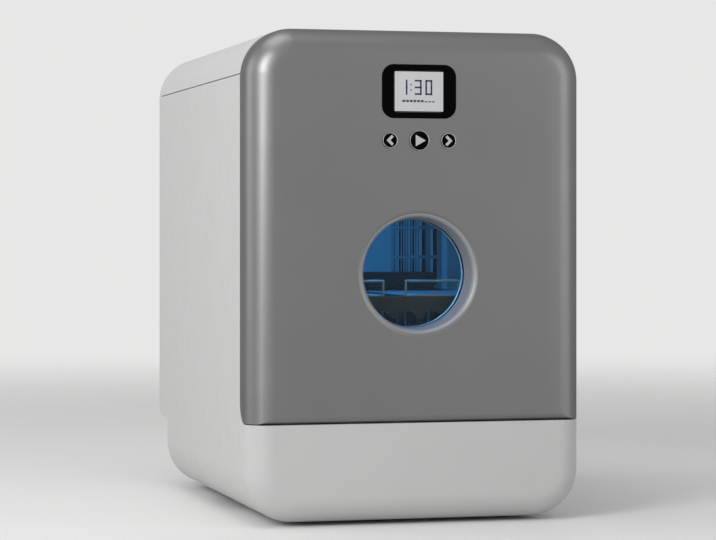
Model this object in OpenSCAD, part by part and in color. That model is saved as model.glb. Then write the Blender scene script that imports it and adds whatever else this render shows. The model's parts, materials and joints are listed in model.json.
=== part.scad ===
// Countertop dishwasher with a drop-down door, a sliding rack and a built-in water tank.
// Millimetres. Origin: centre of the footprint on the worktop. Front faces -Y, +X is right, +Z is up.

/* [Body] */
// Width of the cabinet
body_w = 344; // [336:1:360]
// Depth from the door's face to the rear cover
body_d = 490; // [480:1:520]
// Height above the worktop
body_h = 490; // [480:1:510]
// Radius of the long edges of the cabinet
corner_r = 48; // [40:1:54]
// Radius of the soft edge round the front face
front_fillet = 26; // [22:1:30]
// Wall of the white shells
shell_wall = 3; // [2.4:0.1:3.4]
// Gap under the cabinet, filled by the feet
ground_gap = 4; // [3:0.5:8]
// Gap along the seams between the door and the cabinet
seam = 1; // [0.6:0.1:1.4]
// Height of the top cover, from its seam up
cover_drop = 44; // [42:1:48]
// How far the rear cover stands out behind the base
bulge_depth = 52; // [48:1:60]
// Height of the underside of the rear cover
bulge_z = 78; // [74:1:82]
// Radius along the rear cover's lower edge
bulge_r = 22; // [12:1:26]

/* [Door] */
// Height of the door's lower edge
door_z = 102; // [100:1:104]
// How far the door wraps back round the cabinet
wing_depth = 41; // [39:1:44]
// Radius of the wing's lower rear corner
wing_corner_r = 20; // [10:1:24]
// Wall of the door's metal skin
door_wall = 2.5; // [2:0.1:3]
// Distance of the hinge axis from the door's face and lower edge
hinge_in = 7; // [6.8:0.1:7.4]
// Radius of the hinge pins
hinge_pin_r = 2; // [1.8:0.1:2.2]
// Depth of the door from its face to its inner panel
door_depth = 33; // [32:0.5:33.5]
// Thickness of the inner panel
liner_wall = 2.5; // [2:0.1:3]

/* [Window] */
// Distance from the buttons down to the window's centre
window_drop = 131.5; // [128:0.5:136]
// Radius of the opening's throat
window_r = 56; // [52:1:57]
// Radius of the rolled edge round the opening
window_roll = 7; // [5:0.5:8]
// Depth of the glass behind the door's face
glass_depth = 24; // [23:0.5:24.5]
// Thickness of the glass
glass_t = 4; // [3.5:0.5:4]

/* [Display and buttons] */
// Width of the display's surround
display_w = 76; // [70:1:80]
// Height of the display's surround
display_h = 53; // [48:1:56]
// Corner radius of the surround
display_r = 12; // [8:1:14]
// Distance from the top of the cabinet to the display's centre
display_drop = 61.5; // [59:0.5:63]
// Width of the screen
screen_w = 51; // [46:1:54]
// Height of the screen
screen_h = 41; // [36:1:43]
// Distance from the display's centre down to the row of buttons
button_drop = 48.5; // [46:0.5:52]
// Spacing of the buttons
button_pitch = 30; // [27:1:32]
// Radius of the outer buttons
side_button_r = 7.4; // [6.5:0.1:8.5]
// Radius of the middle button
main_button_r = 9.8; // [8.5:0.1:10.5]
// How far a button travels
button_travel = 1; // [0.8:0.1:1.2]
// How far the buttons stand out of the door
button_proud = 1.8; // [1.4:0.1:2.4]

/* [Wash chamber] */
// Space between the chamber and each side of the cabinet
side_space = 22; // [20:0.5:24]
// Height of the chamber's underside
tub_z = 126; // [124:1:128]
// Space above the chamber
top_space = 54; // [50:1:58]
// Space between the chamber and the back of the base
rear_space = 38; // [36:1:44]
// Wall of the chamber
tub_wall = 2.5; // [2:0.1:3]
// Radius of the chamber's long edges
tub_r = 26; // [18:1:30]

/* [Rack] */
// Space on each side of the rack
rack_space = 17.5; // [17:0.5:22]
// Space behind the rack
rack_rear = 18.5; // [16:0.5:24]
// Height of the rack's floor above the chamber's
rack_lift = 39.5; // [39:0.5:42]
// Depth of the rack below its rim
rack_depth = 46.5; // [45:0.5:50]
// Height of the rim bar
rim_h = 10.5; // [8:0.5:12]
// Wall of the rack
rack_wall = 2.5; // [2:0.1:3]
// Spacing of the bars in the rack
rack_pitch = 26; // [22:1:30]
// Width of the bars in the rack
rack_bar = 4; // [3:0.5:6]
// Length of the folding shelves from front to back
shelf_l = 176; // [150:2:180]
// Radius of the rack's rollers
roller_r = 7; // [6:0.5:7.5]

/* [Base] */
// Radius of the feet
foot_r = 13; // [10:1:16]
// Length of a hand grip
grip_l = 110; // [90:5:120]
// Depth of a hand grip
grip_h = 30; // [24:1:34]
// Radius of the washing pump's motor
wash_motor_r = 26; // [22:1:28]
// Radius of the draining pump's motor
drain_motor_r = 20; // [16:1:22]
// Space between the spray arm's tips and the chamber's sides
spray_space = 29.5; // [25:0.5:40]

/* [Tank, fan and services] */
// Space between the water tank and the fan duct
tank_space = 30; // [26:1:60]
// Width of the fan duct
duct_w = 60; // [56:1:64]
// Height of the fan duct
duct_h = 142; // [120:1:160]
// Inner radius of the filler neck
filler_r = 21; // [17:0.5:23]
// Length of the filler lid from front to back
filler_lid_l = 66; // [60:1:68]
// Radius of the drying fan
fan_r = 29; // [24:1:31]
// Outer radius of the threaded water inlet
inlet_r = 13.2; // [12:0.1:15]
// Outer radius of the drain spigot
drain_r = 8; // [7:0.1:10]
// Length of the water inlet behind the base
inlet_l = 18; // [14:1:24]
// Length of the drain spigot behind the base
drain_l = 28; // [20:1:34]

/* [Hidden] */
$fn = 64;
eps = 1;
fit_gap = 0.3;

// Planes of the cabinet
front_y = -body_d / 2;
rear_y = body_d / 2;
half_w = body_w / 2;
base_rear = rear_y - bulge_depth;
wing_back = front_y + wing_depth;
cover_z = body_h - cover_drop;
base_top = door_z - seam;
shell_front = wing_back + seam;

// Frame, chamber and rack
frame_t = 5;
frame_y = shell_front - frame_t;
bulkhead_t = 3;
tub_y = shell_front + bulkhead_t;
tub_back = base_rear - rear_space;
tub_w = body_w - 2 * side_space;
tub_top = body_h - top_space;
tub_half = tub_w / 2 - tub_wall;
tub_floor = tub_z + tub_wall;
tub_ceiling = tub_top - tub_wall;
rack_y = tub_y - 2;
rack_back = tub_back - tub_wall - rack_rear;
rack_half = tub_half - rack_space;
rack_z = tub_floor + rack_lift;
basket_slope = 34;
panel_play = 0.1;
rim_z = rack_z + rack_depth;
rail_clear = 0.4;
rail_wall = 2;
roller_w = 5;
roller_z = rim_z - roller_r - 2.5;
roller_pin_r = 2;
roller_x = tub_half - rail_wall - 1 - roller_w;
roller_ys = [rack_back - 116, rack_back - 26];
rail_end = rack_back + 4;

// Door
hinge_y = front_y + hinge_in;
hinge_z = door_z + hinge_in;
liner_y = front_y + door_depth;
liner_z = hinge_z + hinge_in;
knuckle_r = hinge_in - door_wall - fit_gap;
arm_x = tub_half - 6.5;
arm_w = 6;
block_w = 7.5;

// Display, buttons and window
display_z = body_h - display_drop;
button_z = display_z - button_drop;
window_z = button_z - window_drop;

// Middle of the base
hub_y = (tub_y + tub_back) / 2 - 4;
sump_r = 48;
sump_y = tub_back - sump_r - 25.5;
spray_reach = tub_half - spray_space;
port_z = 60;
tray_z = ground_gap + shell_wall + fit_gap;
tray_t = 3;
tray_top = tray_z + tray_t;
hose_r = 9;

// Tank and filler
tank_x0 = -tub_w / 2;
tank_x1 = tub_half - 3.5 - duct_w - tank_space;
tank_z = tub_z + 4;
tank_top = tub_top - 4;
filler_x = (tank_x0 + tank_x1) / 2;
filler_y = rear_y - 46;
lid_t = 3;
lid_w = 76;
lid_pin_r = 1.5;
lid_knuckle_r = 3;
lid_axis_y = rear_y - shell_wall - lid_knuckle_r - 1;
lid_axis_z = body_h - lid_knuckle_r;
lid_y0 = lid_axis_y - filler_lid_l;
pocket_floor = body_h - 9;

// Fan duct behind the chamber
duct_x1 = tub_half - 3.5;
duct_x0 = duct_x1 - duct_w;
duct_z0 = tub_floor + 61.5;
duct_z1 = duct_z0 + duct_h;
fan_x = (duct_x0 + duct_x1) / 2;
fan_z = (duct_z0 + duct_z1) / 2;
duct_d = 22;

screw_x = half_w - 12;
screw_zs = [bulge_z + 44, (bulge_z + cover_z) / 2, cover_z - 30];
screw_r = 2;

// Feet and tray
tray_half = half_w - corner_r - 14;
foot_stem_r = 4;
foot_spots = [for (x = [-1, 1], y = [front_y + 70, base_rear - 45]) [x * tray_half, y]];
grip_x = half_w - corner_r - 6;
grip_w = 32;
lip_drop = 8;

// Board and float on the tray
board_w = 68;
board_l = 86;
board_x = tray_half - board_w - 8;
board_y = front_y + 87;
board_lift = 9;
float_x = tray_half - 20;
float_y = board_y + board_l + 12;

// Pumps, drain and inlets
pump_x = sump_r + 12;
wash_volute_r = wash_motor_r + 8;
wash_volute_w = 32;
wash_motor_l = 52;
drain_volute_r = drain_motor_r + 4;
drain_volute_w = 28;
drain_motor_l = 40;
wash_out_x = -(pump_x + wash_volute_w / 2);
drain_x = pump_x + drain_volute_w / 2;
drain_end = drain_volute_r + 12;
collar = 2;
inlet_x = -30;
valve_y = base_rear - 22;
tank_out_y = tub_back + 14;
mains_x = -100;
mains_w = 28;
mains_h = 20;

// Spray arm
riser_r = 12;
spindle_r = 8;
arm_z = tub_floor + 18;
arm_h = 10;

// Catch, dispenser and display
keeper_x = 60;
keeper_z = tub_ceiling + 22;
tray_w = 92;
tray_h = 42;
disp_z1 = window_z - window_r - 13;
disp_z0 = disp_z1 - tray_h;
display_y = front_y + 15;
buttons = [[-button_pitch, side_button_r], [0, main_button_r], [button_pitch, side_button_r]];

// Cup shelves and cutlery basket
shelf_pin_r = 1.5;
shelf_x = rack_half - 9;
shelf_bar = 3;
shelf_z = rim_z + rim_h + fit_gap + shelf_bar / 2;
shelf_y0 = rack_y;
shelf_y1 = shelf_y0 + shelf_l;
cutlery_d = 52;
cutlery_h = 74;
cutlery_wall = 2;

// ---------- helpers ----------

// A box between two opposite corners
module block(a, b) {
  translate(a) cube([b[0] - a[0], b[1] - a[1], b[2] - a[2]]);
}

// An XZ outline drawn out along Y
module along_y(y0, y1) {
  translate([0, y1, 0]) rotate([90, 0, 0]) linear_extrude(y1 - y0) children();
}

// A YZ outline drawn out along X
module along_x(x0, x1) {
  translate([x0, 0, 0]) rotate([90, 0, 90]) linear_extrude(x1 - x0) children();
}

// A cylinder along X, Y or Z from a point
module rod_x(p, r, l) {
  translate(p) rotate([0, 90, 0]) cylinder(h = l, r = r);
}

module rod_y(p, r, l) {
  translate([p[0], p[1] + l, p[2]]) rotate([90, 0, 0]) cylinder(h = l, r = r);
}

module rod_z(p, r, l) {
  translate(p) cylinder(h = l, r = r);
}

// A rectangle with round corners, about its centre
module round_rect(w, h, r) {
  square([w - 2 * r, h], center = true);
  square([w, h - 2 * r], center = true);
  for (x = [-1, 1], y = [-1, 1]) translate([x * (w / 2 - r), y * (h / 2 - r)]) circle(r);
}

module quarter(r) {
  intersection() {
    circle(r);
    square(r + eps);
  }
}

// Copies on the left and on the right
module both_sides() {
  for (s = [0, 1]) mirror([s, 0, 0]) children();
}

// Turns a profile of [radius, depth] round an axis along Y, depth 0 at the door's face
module turned_y(x, z) {
  translate([x, front_y, z]) rotate([-90, 0, 0]) rotate_extrude() children();
}

// The cabinet's outline seen from the front
module section(inset) {
  mid = (body_h + ground_gap) / 2;
  translate([0, mid])
    round_rect(body_w - 2 * inset, body_h - ground_gap - 2 * inset, corner_r - inset);
}

// The chamber's outline seen from the front, grown by a margin
module tub_section(margin) {
  translate([0, (tub_floor + tub_ceiling) / 2])
    round_rect(2 * (tub_half + margin), tub_ceiling - tub_floor + 2 * margin, tub_r - tub_wall + margin);
}

// The cabinet as one soft block, its front edge rounded all the way round
module soft_block(inset, y_end) {
  f = front_fillet - inset;
  y = front_y + inset + f;
  low = ground_gap + corner_r;
  high = body_h - corner_r;
  side = half_w - corner_r;
  along_y(y, y_end) section(inset);
  along_y(front_y + inset, y) section(front_fillet);
  both_sides() {
    translate([half_w - front_fillet, y, low]) mirror([0, 1, 0]) linear_extrude(high - low) quarter(f);
    translate([side, y, high]) soft_corner(f);
    translate([side, y, low]) mirror([0, 0, 1]) soft_corner(f);
  }
  translate([0, y, body_h - front_fillet]) soft_edge(side, f);
  translate([0, y, ground_gap + front_fillet]) mirror([0, 0, 1]) soft_edge(side, f);
}

module soft_corner(f) {
  rotate([90, 0, 0]) rotate_extrude(angle = 90) translate([corner_r - front_fillet, 0]) quarter(f);
}

module soft_edge(side, f) {
  along_x(-side, side) mirror([1, 0]) quarter(f);
}

// The space that the door takes up, seen from the side
module door_zone(margin) {
  back = wing_back + margin;
  low = door_z - margin;
  r = wing_corner_r + margin;
  along_x(-half_w - eps, half_w + eps) {
    translate([front_y - eps, low]) square([back - r - front_y + eps, body_h]);
    translate([front_y - eps, low + r]) square([back - front_y + eps, body_h]);
    translate([back - r, low + r]) circle(r);
  }
}

// The part of the door's lower edge that would sweep below it, outside a radius about the hinge
module edge_relief(r) {
  difference() {
    block([-half_w - eps, hinge_y - 2 * hinge_in, hinge_z - 2 * hinge_in],
          [half_w + eps, hinge_y, hinge_z]);
    rod_x([-half_w - 2 * eps, hinge_y, hinge_z], r, body_w + 4 * eps);
  }
}

// ---------- cabinet shells ----------

module outer_shell() {
  color("white") difference() {
    union() {
      difference() {
        soft_block(0, base_rear);
        soft_block(shell_wall, base_rear - shell_wall);
      }
      intersection() {
        both_sides() grip_box(shell_wall);
        along_y(-grip_l, grip_l) section(0);
      }
    }
    both_sides() grip_box(0);
    door_zone(seam);
    block([-body_w, front_y, cover_z - seam / 2], [body_w, rear_y, body_h + eps]);
    intersection() {
      along_y(base_rear - shell_wall - eps, base_rear + eps) section(shell_wall + 17);
      block([-half_w, 0, bulge_z + 12], [half_w, rear_y, body_h]);
    }
    intersection() {
      along_y(base_rear - shell_wall - eps, base_rear + eps) section(shell_wall);
      block([-half_w, 0, cover_z - lip_drop - 1], [half_w, rear_y, body_h]);
    }
    for (p = foot_spots) rod_z([p[0], p[1], 0], foot_stem_r + 0.1, ground_gap + shell_wall + eps);
    for (z = screw_zs) both_sides() rod_y([screw_x, base_rear - shell_wall - eps, z], screw_r + 0.05, 6);
    service_holes();
  }
}

// A pocket for the fingers under each side
module grip_box(wall) {
  low = wall > 0 ? ground_gap + shell_wall : ground_gap - eps;
  block([grip_x - wall, -grip_l / 2 - wall, low],
        [grip_x + grip_w + wall, grip_l / 2 + wall, ground_gap + grip_h + wall]);
}

module service_holes() {
  rod_y([inlet_x, base_rear - 10, port_z], inlet_r + collar + 0.2, 20);
  rod_y([drain_x, base_rear - 10, port_z], drain_r + collar + 0.2, 20);
  block([mains_x - mains_w / 2 - 0.2, base_rear - 10, port_z - mains_h / 2 - 0.2],
        [mains_x + mains_w / 2 + 0.2, base_rear + 10, port_z + mains_h / 2 + 0.2]);
}

module top_cover() {
  lip_front = tub_y + 14;
  lip_back = rear_y - shell_wall - fit_gap;
  color("white") difference() {
    union() {
      difference() {
        along_y(shell_front, rear_y) section(0);
        along_y(shell_front - eps, rear_y - shell_wall) section(shell_wall);
        block([-body_w, front_y, 0], [body_w, rear_y + eps, cover_z + seam / 2]);
      }
      cover_lip(shell_wall - 0.1, cover_z + 1, lip_front, lip_back);
      cover_lip(shell_wall + fit_gap, cover_z - lip_drop, lip_front, lip_back);
      filler_pocket(shell_wall, pocket_floor - shell_wall);
    }
    filler_pocket(0, pocket_floor);
    rod_z([filler_x, filler_y, pocket_floor - 2 * shell_wall], filler_r + 2.5 + 0.2, 3 * shell_wall);
    rod_x([filler_x - lid_w / 2 - 4, lid_axis_y, lid_axis_z], lid_pin_r + 0.05, lid_w + 8);
  }
}

module cover_lip(inset, low, y0, y1) {
  intersection() {
    along_y(y0, y1) difference() {
      section(inset);
      section(shell_wall + 2.5);
    }
    block([-half_w, y0, low], [half_w, y1, cover_z + 6]);
  }
}

module filler_pocket(wall, floor_z) {
  high = wall > 0 ? body_h - shell_wall + 0.1 : body_h + eps;
  block([filler_x - lid_w / 2 - 0.6 - wall, lid_y0 - 0.6 - wall, floor_z],
        [filler_x + lid_w / 2 + 0.6 + wall, lid_axis_y + lid_knuckle_r + 0.6 + wall, high]);
}

// The rear cover's outline seen from the side
module bulge_zone(inset, high) {
  back = rear_y - inset;
  low = bulge_z + inset;
  r = bulge_r - inset;
  along_x(-half_w - eps, half_w + eps) {
    translate([base_rear - eps, low + r]) square([back - base_rear + eps, high - low - r]);
    translate([base_rear - eps, low]) square([back - r - base_rear + eps, high - low]);
    translate([back - r, low + r]) circle(r);
  }
}

module rear_cover() {
  vent_pitch = 9;
  color("white") difference() {
    union() {
      difference() {
        intersection() {
          along_y(base_rear, rear_y) section(0);
          bulge_zone(0, cover_z - seam / 2);
        }
        intersection() {
          along_y(base_rear - eps, rear_y - shell_wall) section(shell_wall);
          bulge_zone(shell_wall, body_h);
        }
      }
      for (z = screw_zs) both_sides()
        rod_y([screw_x, base_rear, z], 6, rear_y - shell_wall - base_rear + 0.1);
    }
    for (z = screw_zs) both_sides() {
      rod_y([screw_x, base_rear - eps, z], screw_r + 0.05, bulge_depth + 2 * eps);
      rod_y([screw_x, rear_y - 3, z], 4.5, 3 + eps);
    }
    for (i = [-4:4])
      block([fan_x - fan_r, rear_y - shell_wall - eps, fan_z + i * vent_pitch - 2],
            [fan_x + fan_r, rear_y + eps, fan_z + i * vent_pitch + 2]);
  }
}

module rear_screws() {
  color("silver") for (z = screw_zs) both_sides() {
    rod_y([screw_x, base_rear - 8, z], screw_r, bulge_depth + 8 - 2.5);
    difference() {
      rod_y([screw_x, rear_y - 3, z], 4, 2.4);
      block([screw_x - 3, rear_y - 1.6, z - 0.5], [screw_x + 3, rear_y, z + 0.5]);
      block([screw_x - 0.5, rear_y - 1.6, z - 3], [screw_x + 0.5, rear_y, z + 3]);
    }
  }
}

module feet() {
  color("dimgray") for (p = foot_spots) {
    rod_z([p[0], p[1], 0], foot_r, ground_gap);
    rod_z([p[0], p[1], 0], foot_stem_r, tray_z);
  }
}

// ---------- frame, hinge and chamber ----------

module front_frame() {
  skirt = shell_wall + fit_gap;
  color("gainsboro") difference() {
    union() {
      intersection() {
        along_y(frame_y, shell_front + 0.1) section(shell_wall + 4);
        block([-half_w, front_y, base_top - 3], [half_w, 0, body_h]);
      }
      intersection() {
        along_y(shell_front, tub_y) section(skirt);
        block([-half_w, front_y, base_top - 30], [half_w, 0, body_h]);
      }
      intersection() {
        along_y(shell_front, tub_y + 10) difference() {
          section(skirt);
          section(skirt + 2.5);
        }
        block([-half_w, front_y, base_top - 30], [half_w, 0, body_h]);
      }
      intersection() {
        soft_block(skirt, shell_front + 0.1);
        block([-half_w, front_y, base_top - 3], [half_w, shell_front + 0.1, base_top]);
      }
    }
    along_y(frame_y - eps, tub_y + eps) tub_section(0);
  }
}

arm_drop = 1;
module hinge_arms() {
  color("silver") both_sides() difference() {
    union() {
      rod_x([arm_x, hinge_y, hinge_z], knuckle_r, arm_w);
      block([arm_x, hinge_y, hinge_z - arm_drop], [arm_x + arm_w, frame_y, hinge_z + knuckle_r]);
      block([arm_x, frame_y - 14, base_top], [arm_x + arm_w, frame_y, hinge_z]);
    }
    rod_x([arm_x - eps, hinge_y, hinge_z], hinge_pin_r + 0.02, arm_w + 2 * eps);
  }
}

module hinge_pins() {
  color("gray") both_sides()
    rod_x([arm_x - 1.5 - block_w, hinge_y, hinge_z], hinge_pin_r, arm_w + 1.5 + block_w);
}

module keeper_plates() {
  color("silver") both_sides()
    block([keeper_x - 10, frame_y - 1.5, keeper_z - 5], [keeper_x + 10, frame_y, keeper_z + 5]);
}

module tub() {
  color("lightsteelblue") difference() {
    along_y(tub_y, tub_back) tub_section(tub_wall);
    along_y(tub_y - eps, tub_back - tub_wall) tub_section(0);
    rod_z([0, hub_y, tub_z - eps], riser_r + 0.2, 2 * tub_wall + eps);
    rod_z([0, sump_y, tub_z - eps], sump_r - 3, 2 * tub_wall + eps);
    duct_slots();
  }
}

// Slots in the chamber's rear wall, in front of the fan duct
module duct_slots() {
  columns = 4;
  rows = 4;
  column_step = (duct_x1 - duct_x0 - 6) / columns;
  row_step = (duct_z1 - duct_z0 - 6) / rows;
  for (i = [0:columns - 1], j = [0:rows - 1]) {
    x = duct_x0 + 6 + i * column_step;
    z = duct_z0 + 5 + j * row_step;
    block([x, tub_back - 2 * tub_wall, z], [x + column_step - 6, tub_back + eps, z + row_step - 4]);
  }
}

module door_gasket() {
  color("dimgray") along_y(liner_y + fit_gap, frame_y) difference() {
    tub_section(10);
    tub_section(4);
  }
}

module rack_rails() {
  low = roller_z - roller_r - rail_clear;
  high = roller_z + roller_r + rail_clear;
  color("silver") both_sides() {
    block([tub_half - rail_wall, tub_y + 4, low - rail_wall],
          [tub_half, rail_end, high + rail_wall]);
    block([roller_x - 1, tub_y + 4, low - rail_wall], [tub_half, rail_end, low]);
    block([roller_x - 1, tub_y + 4, high], [tub_half, rail_end, high + rail_wall]);
    block([roller_x - 1, rail_end - 3, low - rail_wall], [tub_half, rail_end, high + rail_wall]);
  }
}

module light_bar() {
  color("deepskyblue") block([-70, tub_y + 30, tub_ceiling - 4], [70, tub_y + 44, tub_ceiling]);
}

// ---------- washing parts ----------

module sump() {
  low = port_z - 18;
  color("slategray") difference() {
    union() {
      rod_z([0, sump_y, low], sump_r, tub_z - low);
      rod_x([-sump_r - 12, sump_y, port_z], hose_r + 2, 2 * sump_r + 24);
      rod_y([0, sump_y, port_z + 40], hose_r + 2, sump_r + 6);
    }
    rod_z([0, sump_y, low + 3], sump_r - 3, tub_z - low);
    rod_x([-sump_r - 13, sump_y, port_z], hose_r, 2 * sump_r + 26);
    rod_y([0, sump_y, port_z + 40], hose_r, sump_r + 7);
  }
}

module filter_basket() {
  r = sump_r - 3.3;
  color("lightgray") difference() {
    union() {
      rod_z([0, sump_y, tub_floor + fit_gap], sump_r + 4, 2);
      rod_z([0, sump_y, port_z + 20], 22, tub_floor - port_z - 19);
      rod_z([0, sump_y, tub_z - 4], r, tub_floor - tub_z + 5);
      block([-20, sump_y - 2, tub_floor + 2], [20, sump_y + 2, tub_floor + 10]);
    }
    rod_z([0, sump_y, port_z + 22], 20, tub_z - port_z - 26);
    for (a = [0:30:330], z = [port_z + 26, port_z + 42])
      translate([0, sump_y, z]) rotate([0, 0, a]) translate([10, -3, 0]) cube([16, 6, 10]);
    for (a = [0:30:330]) rod_z([31 * cos(a), sump_y + 31 * sin(a), tub_z - 10], 4, 30);
  }
}

module spray_riser() {
  color("dimgray") difference() {
    union() {
      rod_z([0, hub_y, tub_z - 14], riser_r, arm_z - fit_gap - tub_z + 14);
      rod_z([0, hub_y, tub_floor], riser_r + 6, 3);
      rod_z([0, hub_y, arm_z - 1], spindle_r, arm_h + 2);
    }
    rod_z([0, hub_y, tub_z - 15], 6, arm_z - tub_z + 20);
  }
}

module spray_arm() {
  jet_r = 1.5;
  color("gray") difference() {
    union() {
      rod_z([0, hub_y, arm_z], 16, arm_h);
      intersection() {
        block([-spray_reach, hub_y - 16, arm_z + 1], [spray_reach, hub_y + 16, arm_z + arm_h - 1]);
        translate([0, hub_y, arm_z]) linear_extrude(arm_h) for (s = [0, 180]) rotate(s) {
          polygon([[0, -14], [spray_reach - 10, -10], [spray_reach - 10, 10], [0, 14]]);
          translate([spray_reach - 10, 0]) circle(10);
        }
      }
    }
    rod_z([0, hub_y, arm_z - eps], spindle_r + 0.05, arm_h + 2 * eps);
    for (s = [-1, 1], i = [1:4])
      rod_z([s * i * spray_reach / 5, hub_y + s * 3, arm_z + arm_h - 4], jet_r, 5);
  }
}

module arm_nut() {
  color("dimgray") difference() {
    rod_z([0, hub_y, arm_z + arm_h + fit_gap], 12, 5);
    rod_z([0, hub_y, arm_z + arm_h - eps], spindle_r + 0.02, 1.7 + eps);
  }
}

// A pump lying along X: volute at the port, motor behind it
module pump(side, x, r_volute, w_volute, r_motor, l_motor, outlet) {
  mirror([side < 0 ? 1 : 0, 0, 0]) difference() {
    union() {
      rod_x([x, sump_y, port_z], r_volute, w_volute);
      rod_x([x + w_volute, sump_y, port_z], r_motor, l_motor);
      translate([x + w_volute / 2, sump_y, port_z]) rotate([outlet, 0, 0])
        cylinder(h = r_volute + 12, r = hose_r + 2);
    }
    rod_x([x + 2.5, sump_y, port_z], r_volute - 2.5, w_volute - 5);
    rod_x([x - eps, sump_y, port_z], hose_r, 4);
    translate([x + w_volute / 2, sump_y, port_z]) rotate([outlet, 0, 0])
      cylinder(h = r_volute + 13, r = hose_r);
    rod_x([x + w_volute - 3, sump_y, port_z], 3.05, 14);
  }
}

module impeller(side, x, r, w, w_volute) {
  mirror([side < 0 ? 1 : 0, 0, 0]) {
    rod_x([x + w_volute - 4 - w, sump_y, port_z], 7, w);
    rod_x([x + w_volute - 6, sump_y, port_z], r, 2);
    rod_x([x + w_volute - 5, sump_y, port_z], 3, 14);
    translate([x + w_volute - 4 - w, sump_y, port_z]) for (a = [0:60:300]) rotate([a, 0, 0])
      block([0, -1, 0], [w, 1, r]);
  }
}

module wash_pump() {
  color("slategray") pump(-1, pump_x, wash_volute_r, wash_volute_w, wash_motor_r, wash_motor_l, 90);
}

module wash_impeller() {
  color("gold") impeller(-1, pump_x, wash_volute_r - 6, 14, wash_volute_w);
}

module drain_pump() {
  color("slategray") pump(1, pump_x, drain_volute_r, drain_volute_w, drain_motor_r, drain_motor_l, -90);
}

module drain_impeller() {
  color("gold") impeller(1, pump_x, drain_volute_r - 6, 11, drain_volute_w);
}

module heater() {
  color("silver") difference() {
    rod_x([wash_out_x + 18, hub_y, port_z], 18, 40);
    rod_x([wash_out_x + 17, hub_y, port_z], hose_r + 0.2, 42);
  }
}

module hoses() {
  color("darkgray") {
    // Washing pump, past the heater, up to the spray arm
    rod_y([wash_out_x, hub_y, port_z], hose_r, sump_y - wash_volute_r - 12 - hub_y);
    translate([wash_out_x, hub_y, port_z]) sphere(hose_r);
    rod_x([wash_out_x, hub_y, port_z], hose_r, -wash_out_x);
    translate([0, hub_y, port_z]) sphere(hose_r);
    rod_z([0, hub_y, port_z], hose_r, tub_z - 14 - port_z);
    // Draining pump to the spigot
    rod_y([drain_x, sump_y + drain_end, port_z], hose_r, base_rear - 24 - sump_y - drain_end);
    // Water inlet valve to the tank
    rod_z([inlet_x, valve_y, port_z + 16], hose_r, tank_z - port_z - 16);
    // Tank to the sump
    rod_z([0, tank_out_y, port_z + 40], hose_r, tank_z - port_z - 40);
    translate([0, tank_out_y, port_z + 40]) sphere(hose_r);
    rod_y([0, sump_y + sump_r + 6, port_z + 40], hose_r, tank_out_y - sump_y - sump_r - 6);
  }
}

// ---------- tray, electrics and services ----------

module base_tray() {
  x = tray_half;
  y0 = front_y + front_fillet + 24;
  y1 = base_rear - 8;
  rim = tray_top + 14;
  color("silver") difference() {
    union() {
      block([-x, y0, tray_z], [x, y1, tray_top]);
      both_sides() block([x - 2, y0, tray_z], [x, y1, rim]);
      for (y = [y0, y1 - 2]) block([-x, y, tray_z], [x, y + 2, rim]);
      mirror([1, 0, 0]) cradle(pump_x + wash_volute_w + 4, wash_motor_r);
      cradle(pump_x + drain_volute_w + 6, drain_motor_r);
      rod_z([0, sump_y, tray_z], 20, port_z - 18 - tray_z);
      for (dx = [6, board_w - 6], dy = [8, board_l - 8])
        rod_z([board_x + dx, board_y + dy, tray_z], 3, board_lift + tray_t);
      rod_z([float_x, float_y, tray_z], 3, 26);
    }
    for (p = foot_spots) rod_z([p[0], p[1], tray_z - eps], foot_stem_r + 2, 10);
  }
}

// A saddle under a pump's motor, on an ear of the tray
module cradle(x, r) {
  length = 14;
  depth = 16;
  block([0, sump_y - depth, tray_z], [x + length, sump_y + depth, tray_top]);
  difference() {
    block([x, sump_y - depth, tray_z], [x + length, sump_y + depth, port_z - r / 2]);
    rod_x([x - eps, sump_y, port_z], r + fit_gap, length + 2 * eps);
  }
}

module power_board() {
  color("darkgreen") translate([board_x, board_y, tray_top + board_lift]) {
    cube([board_w, board_l, 1.6]);
    translate([6, 8, 0]) cube([22, 20, 20]);
    translate([36, 8, 0]) cube([26, 30, 16]);
    translate([50, 48, 0]) cube([14, 26, 12]);
    rod_z([16, 58, 0], 8, 24);
    rod_z([38, 58, 0], 6, 18);
  }
}

module float_switch() {
  z = tray_top + 33;
  color("black") {
    block([float_x - 14, float_y - 8, z], [float_x + 14, float_y + 8, z + 12]);
    block([float_x + 14, float_y - 4, tray_top], [float_x + 17, float_y + 4, z + 12]);
  }
}

module float() {
  z = tray_top + fit_gap;
  color("orange") difference() {
    rod_z([float_x, float_y, z], 11, 14);
    rod_z([float_x, float_y, z - eps], 3.05, 16);
  }
}

module inlet_valve() {
  color("gainsboro") difference() {
    union() {
      rod_y([inlet_x, base_rear - shell_wall, port_z], inlet_r + collar, shell_wall);
      rod_y([inlet_x, base_rear - shell_wall, port_z], inlet_r, shell_wall + inlet_l);
      block([inlet_x - 16, valve_y - 14, port_z - 16], [inlet_x + 16, base_rear - shell_wall, port_z + 16]);
    }
    rod_y([inlet_x, base_rear - 4, port_z], inlet_r - 4, 30);
  }
}

module drain_spigot() {
  color("dimgray") difference() {
    union() {
      rod_y([drain_x, base_rear - shell_wall, port_z], drain_r + collar, shell_wall);
      rod_y([drain_x, base_rear - shell_wall, port_z], drain_r, shell_wall + drain_l);
      rod_y([drain_x, base_rear - 24, port_z], drain_r + 6, 24 - shell_wall);
    }
    rod_y([drain_x, base_rear + 2, port_z], drain_r - 2.5, 30);
  }
}

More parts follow.
